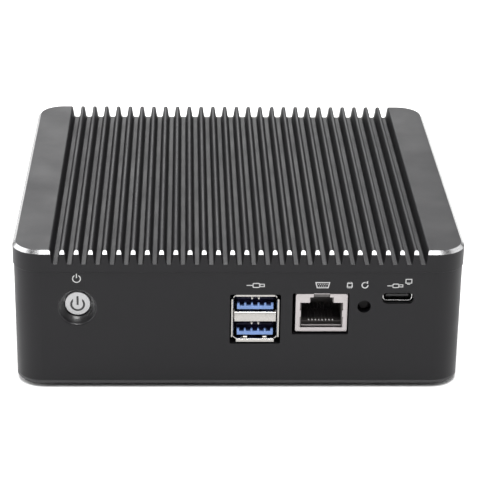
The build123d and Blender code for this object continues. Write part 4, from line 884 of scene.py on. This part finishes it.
screen = frame_mark(SCREEN_MARK_X, SCREEN_MARK_Z, 2.0, 1.5, 0.27, 0.15)
screen_foot = bar(SCREEN_MARK_X, SCREEN_MARK_Z - 1.0, 0.9, 0.22)
printed("usb_c_mark", [*plug_mark(*USB_C_MARK, USB_C_MARK_SIZE), screen, [screen_foot]])


# ======================= Studio =======================

FLOOR_HALF = 6
floor_finish = plain_finish(
    "studio_floor", (0.86, 0.86, 0.86), 0.9, 0.0, grain=3.0, depth=0.01, tone=0.008, rough_spread=0.03
)
floor_corners = [(FLOOR_HALF * sx, FLOOR_HALF * sy, 0) for sx, sy in ((-1, -1), (1, -1), (1, 1), (-1, 1))]
floor_mesh = bpy.data.meshes.new("studio_floor")
floor_mesh.from_pydata(floor_corners, [], [(0, 1, 2, 3)])
floor_mesh.materials.append(floor_finish)
floor = bpy.data.objects.new("studio_floor", floor_mesh)
bpy.context.scene.collection.objects.link(floor)

world = bpy.data.worlds.new("studio")
bpy.context.scene.world = world
world.use_nodes = True
surround = world.node_tree.nodes["Background"]
surround.inputs["Color"].default_value = (1.0, 1.0, 1.0, 1.0)
surround.inputs["Strength"].default_value = 0.2
bpy.context.scene.view_settings.view_transform = "Standard"


def soft_light(name, place, towards, width, height, radiance):
    """A soft box that faces a point. Its glow is the same whatever its size."""
    data = bpy.data.lights.new(name, "AREA")
    data.shape = "RECTANGLE"
    data.size, data.size_y = width, height
    data.energy = math.pi * width * height * radiance
    light = bpy.data.objects.new(name, data)
    light.location = place
    light.rotation_mode = "QUATERNION"
    light.rotation_quaternion = (Vector(towards) - Vector(place)).to_track_quat("-Z", "Y")
    bpy.context.scene.collection.objects.link(light)


# Each row: place, the point it faces, width, height and radiance.
SOFT_LIGHTS = {
    "overhead": ((0.095, -0.6, 1.5), (0.095, -0.6, 0), 0.69, 1.3, 5.0),
    "left_box": ((-1.35, 0.35, 0.95), (0, 0.35, 0.95), 1.7, 1.86, 3.5),
    "right_box": ((1.45, 0.35, 0.85), (0, 0.35, 0.85), 1.7, 1.66, 1.95),
    "rear_box": ((-0.3, 1.85, 1.1), (-0.1, 0, 0.1), 1.5, 1.0, 4.0),
}
for name, row in SOFT_LIGHTS.items():
    soft_light(name, *row)
ceiling = bpy.data.lights.new("ceiling", "SUN")
ceiling.energy = 3.1
ceiling.angle = math.radians(30)
ceiling_light = bpy.data.objects.new("ceiling", ceiling)
bpy.context.scene.collection.objects.link(ceiling_light)


CAMERA_PLACE = (-0.01615, -0.5684, 0.2709)
CAMERA_YAW, CAMERA_PITCH, CAMERA_ROLL = (math.radians(angle) for angle in (1.83, 23.74, 0.83))
CAMERA_LENS, CAMERA_SENSOR = 142.3, 36.0


def add_camera():
    """The photograph's view: from the front, a little left of the middle, and 24 degrees above it."""
    away, drop = math.cos(CAMERA_PITCH), math.sin(CAMERA_PITCH)
    forward = Vector((math.sin(CAMERA_YAW) * away, math.cos(CAMERA_YAW) * away, -drop))
    level = Vector((math.cos(CAMERA_YAW), -math.sin(CAMERA_YAW), 0.0))
    upward = level.cross(forward)
    right = level * math.cos(CAMERA_ROLL) + upward * math.sin(CAMERA_ROLL)
    up = upward * math.cos(CAMERA_ROLL) - level * math.sin(CAMERA_ROLL)
    data = bpy.data.cameras.new("camera")
    data.sensor_width, data.lens = CAMERA_SENSOR, CAMERA_LENS
    data.clip_start, data.clip_end = 0.01, 50.0
    camera = bpy.data.objects.new("camera", data)
    turn = Matrix((right, up, -forward)).transposed().to_4x4()
    camera.matrix_world = Matrix.Translation(CAMERA_PLACE) @ turn
    bpy.context.scene.collection.objects.link(camera)
    bpy.context.scene.camera = camera


add_camera()
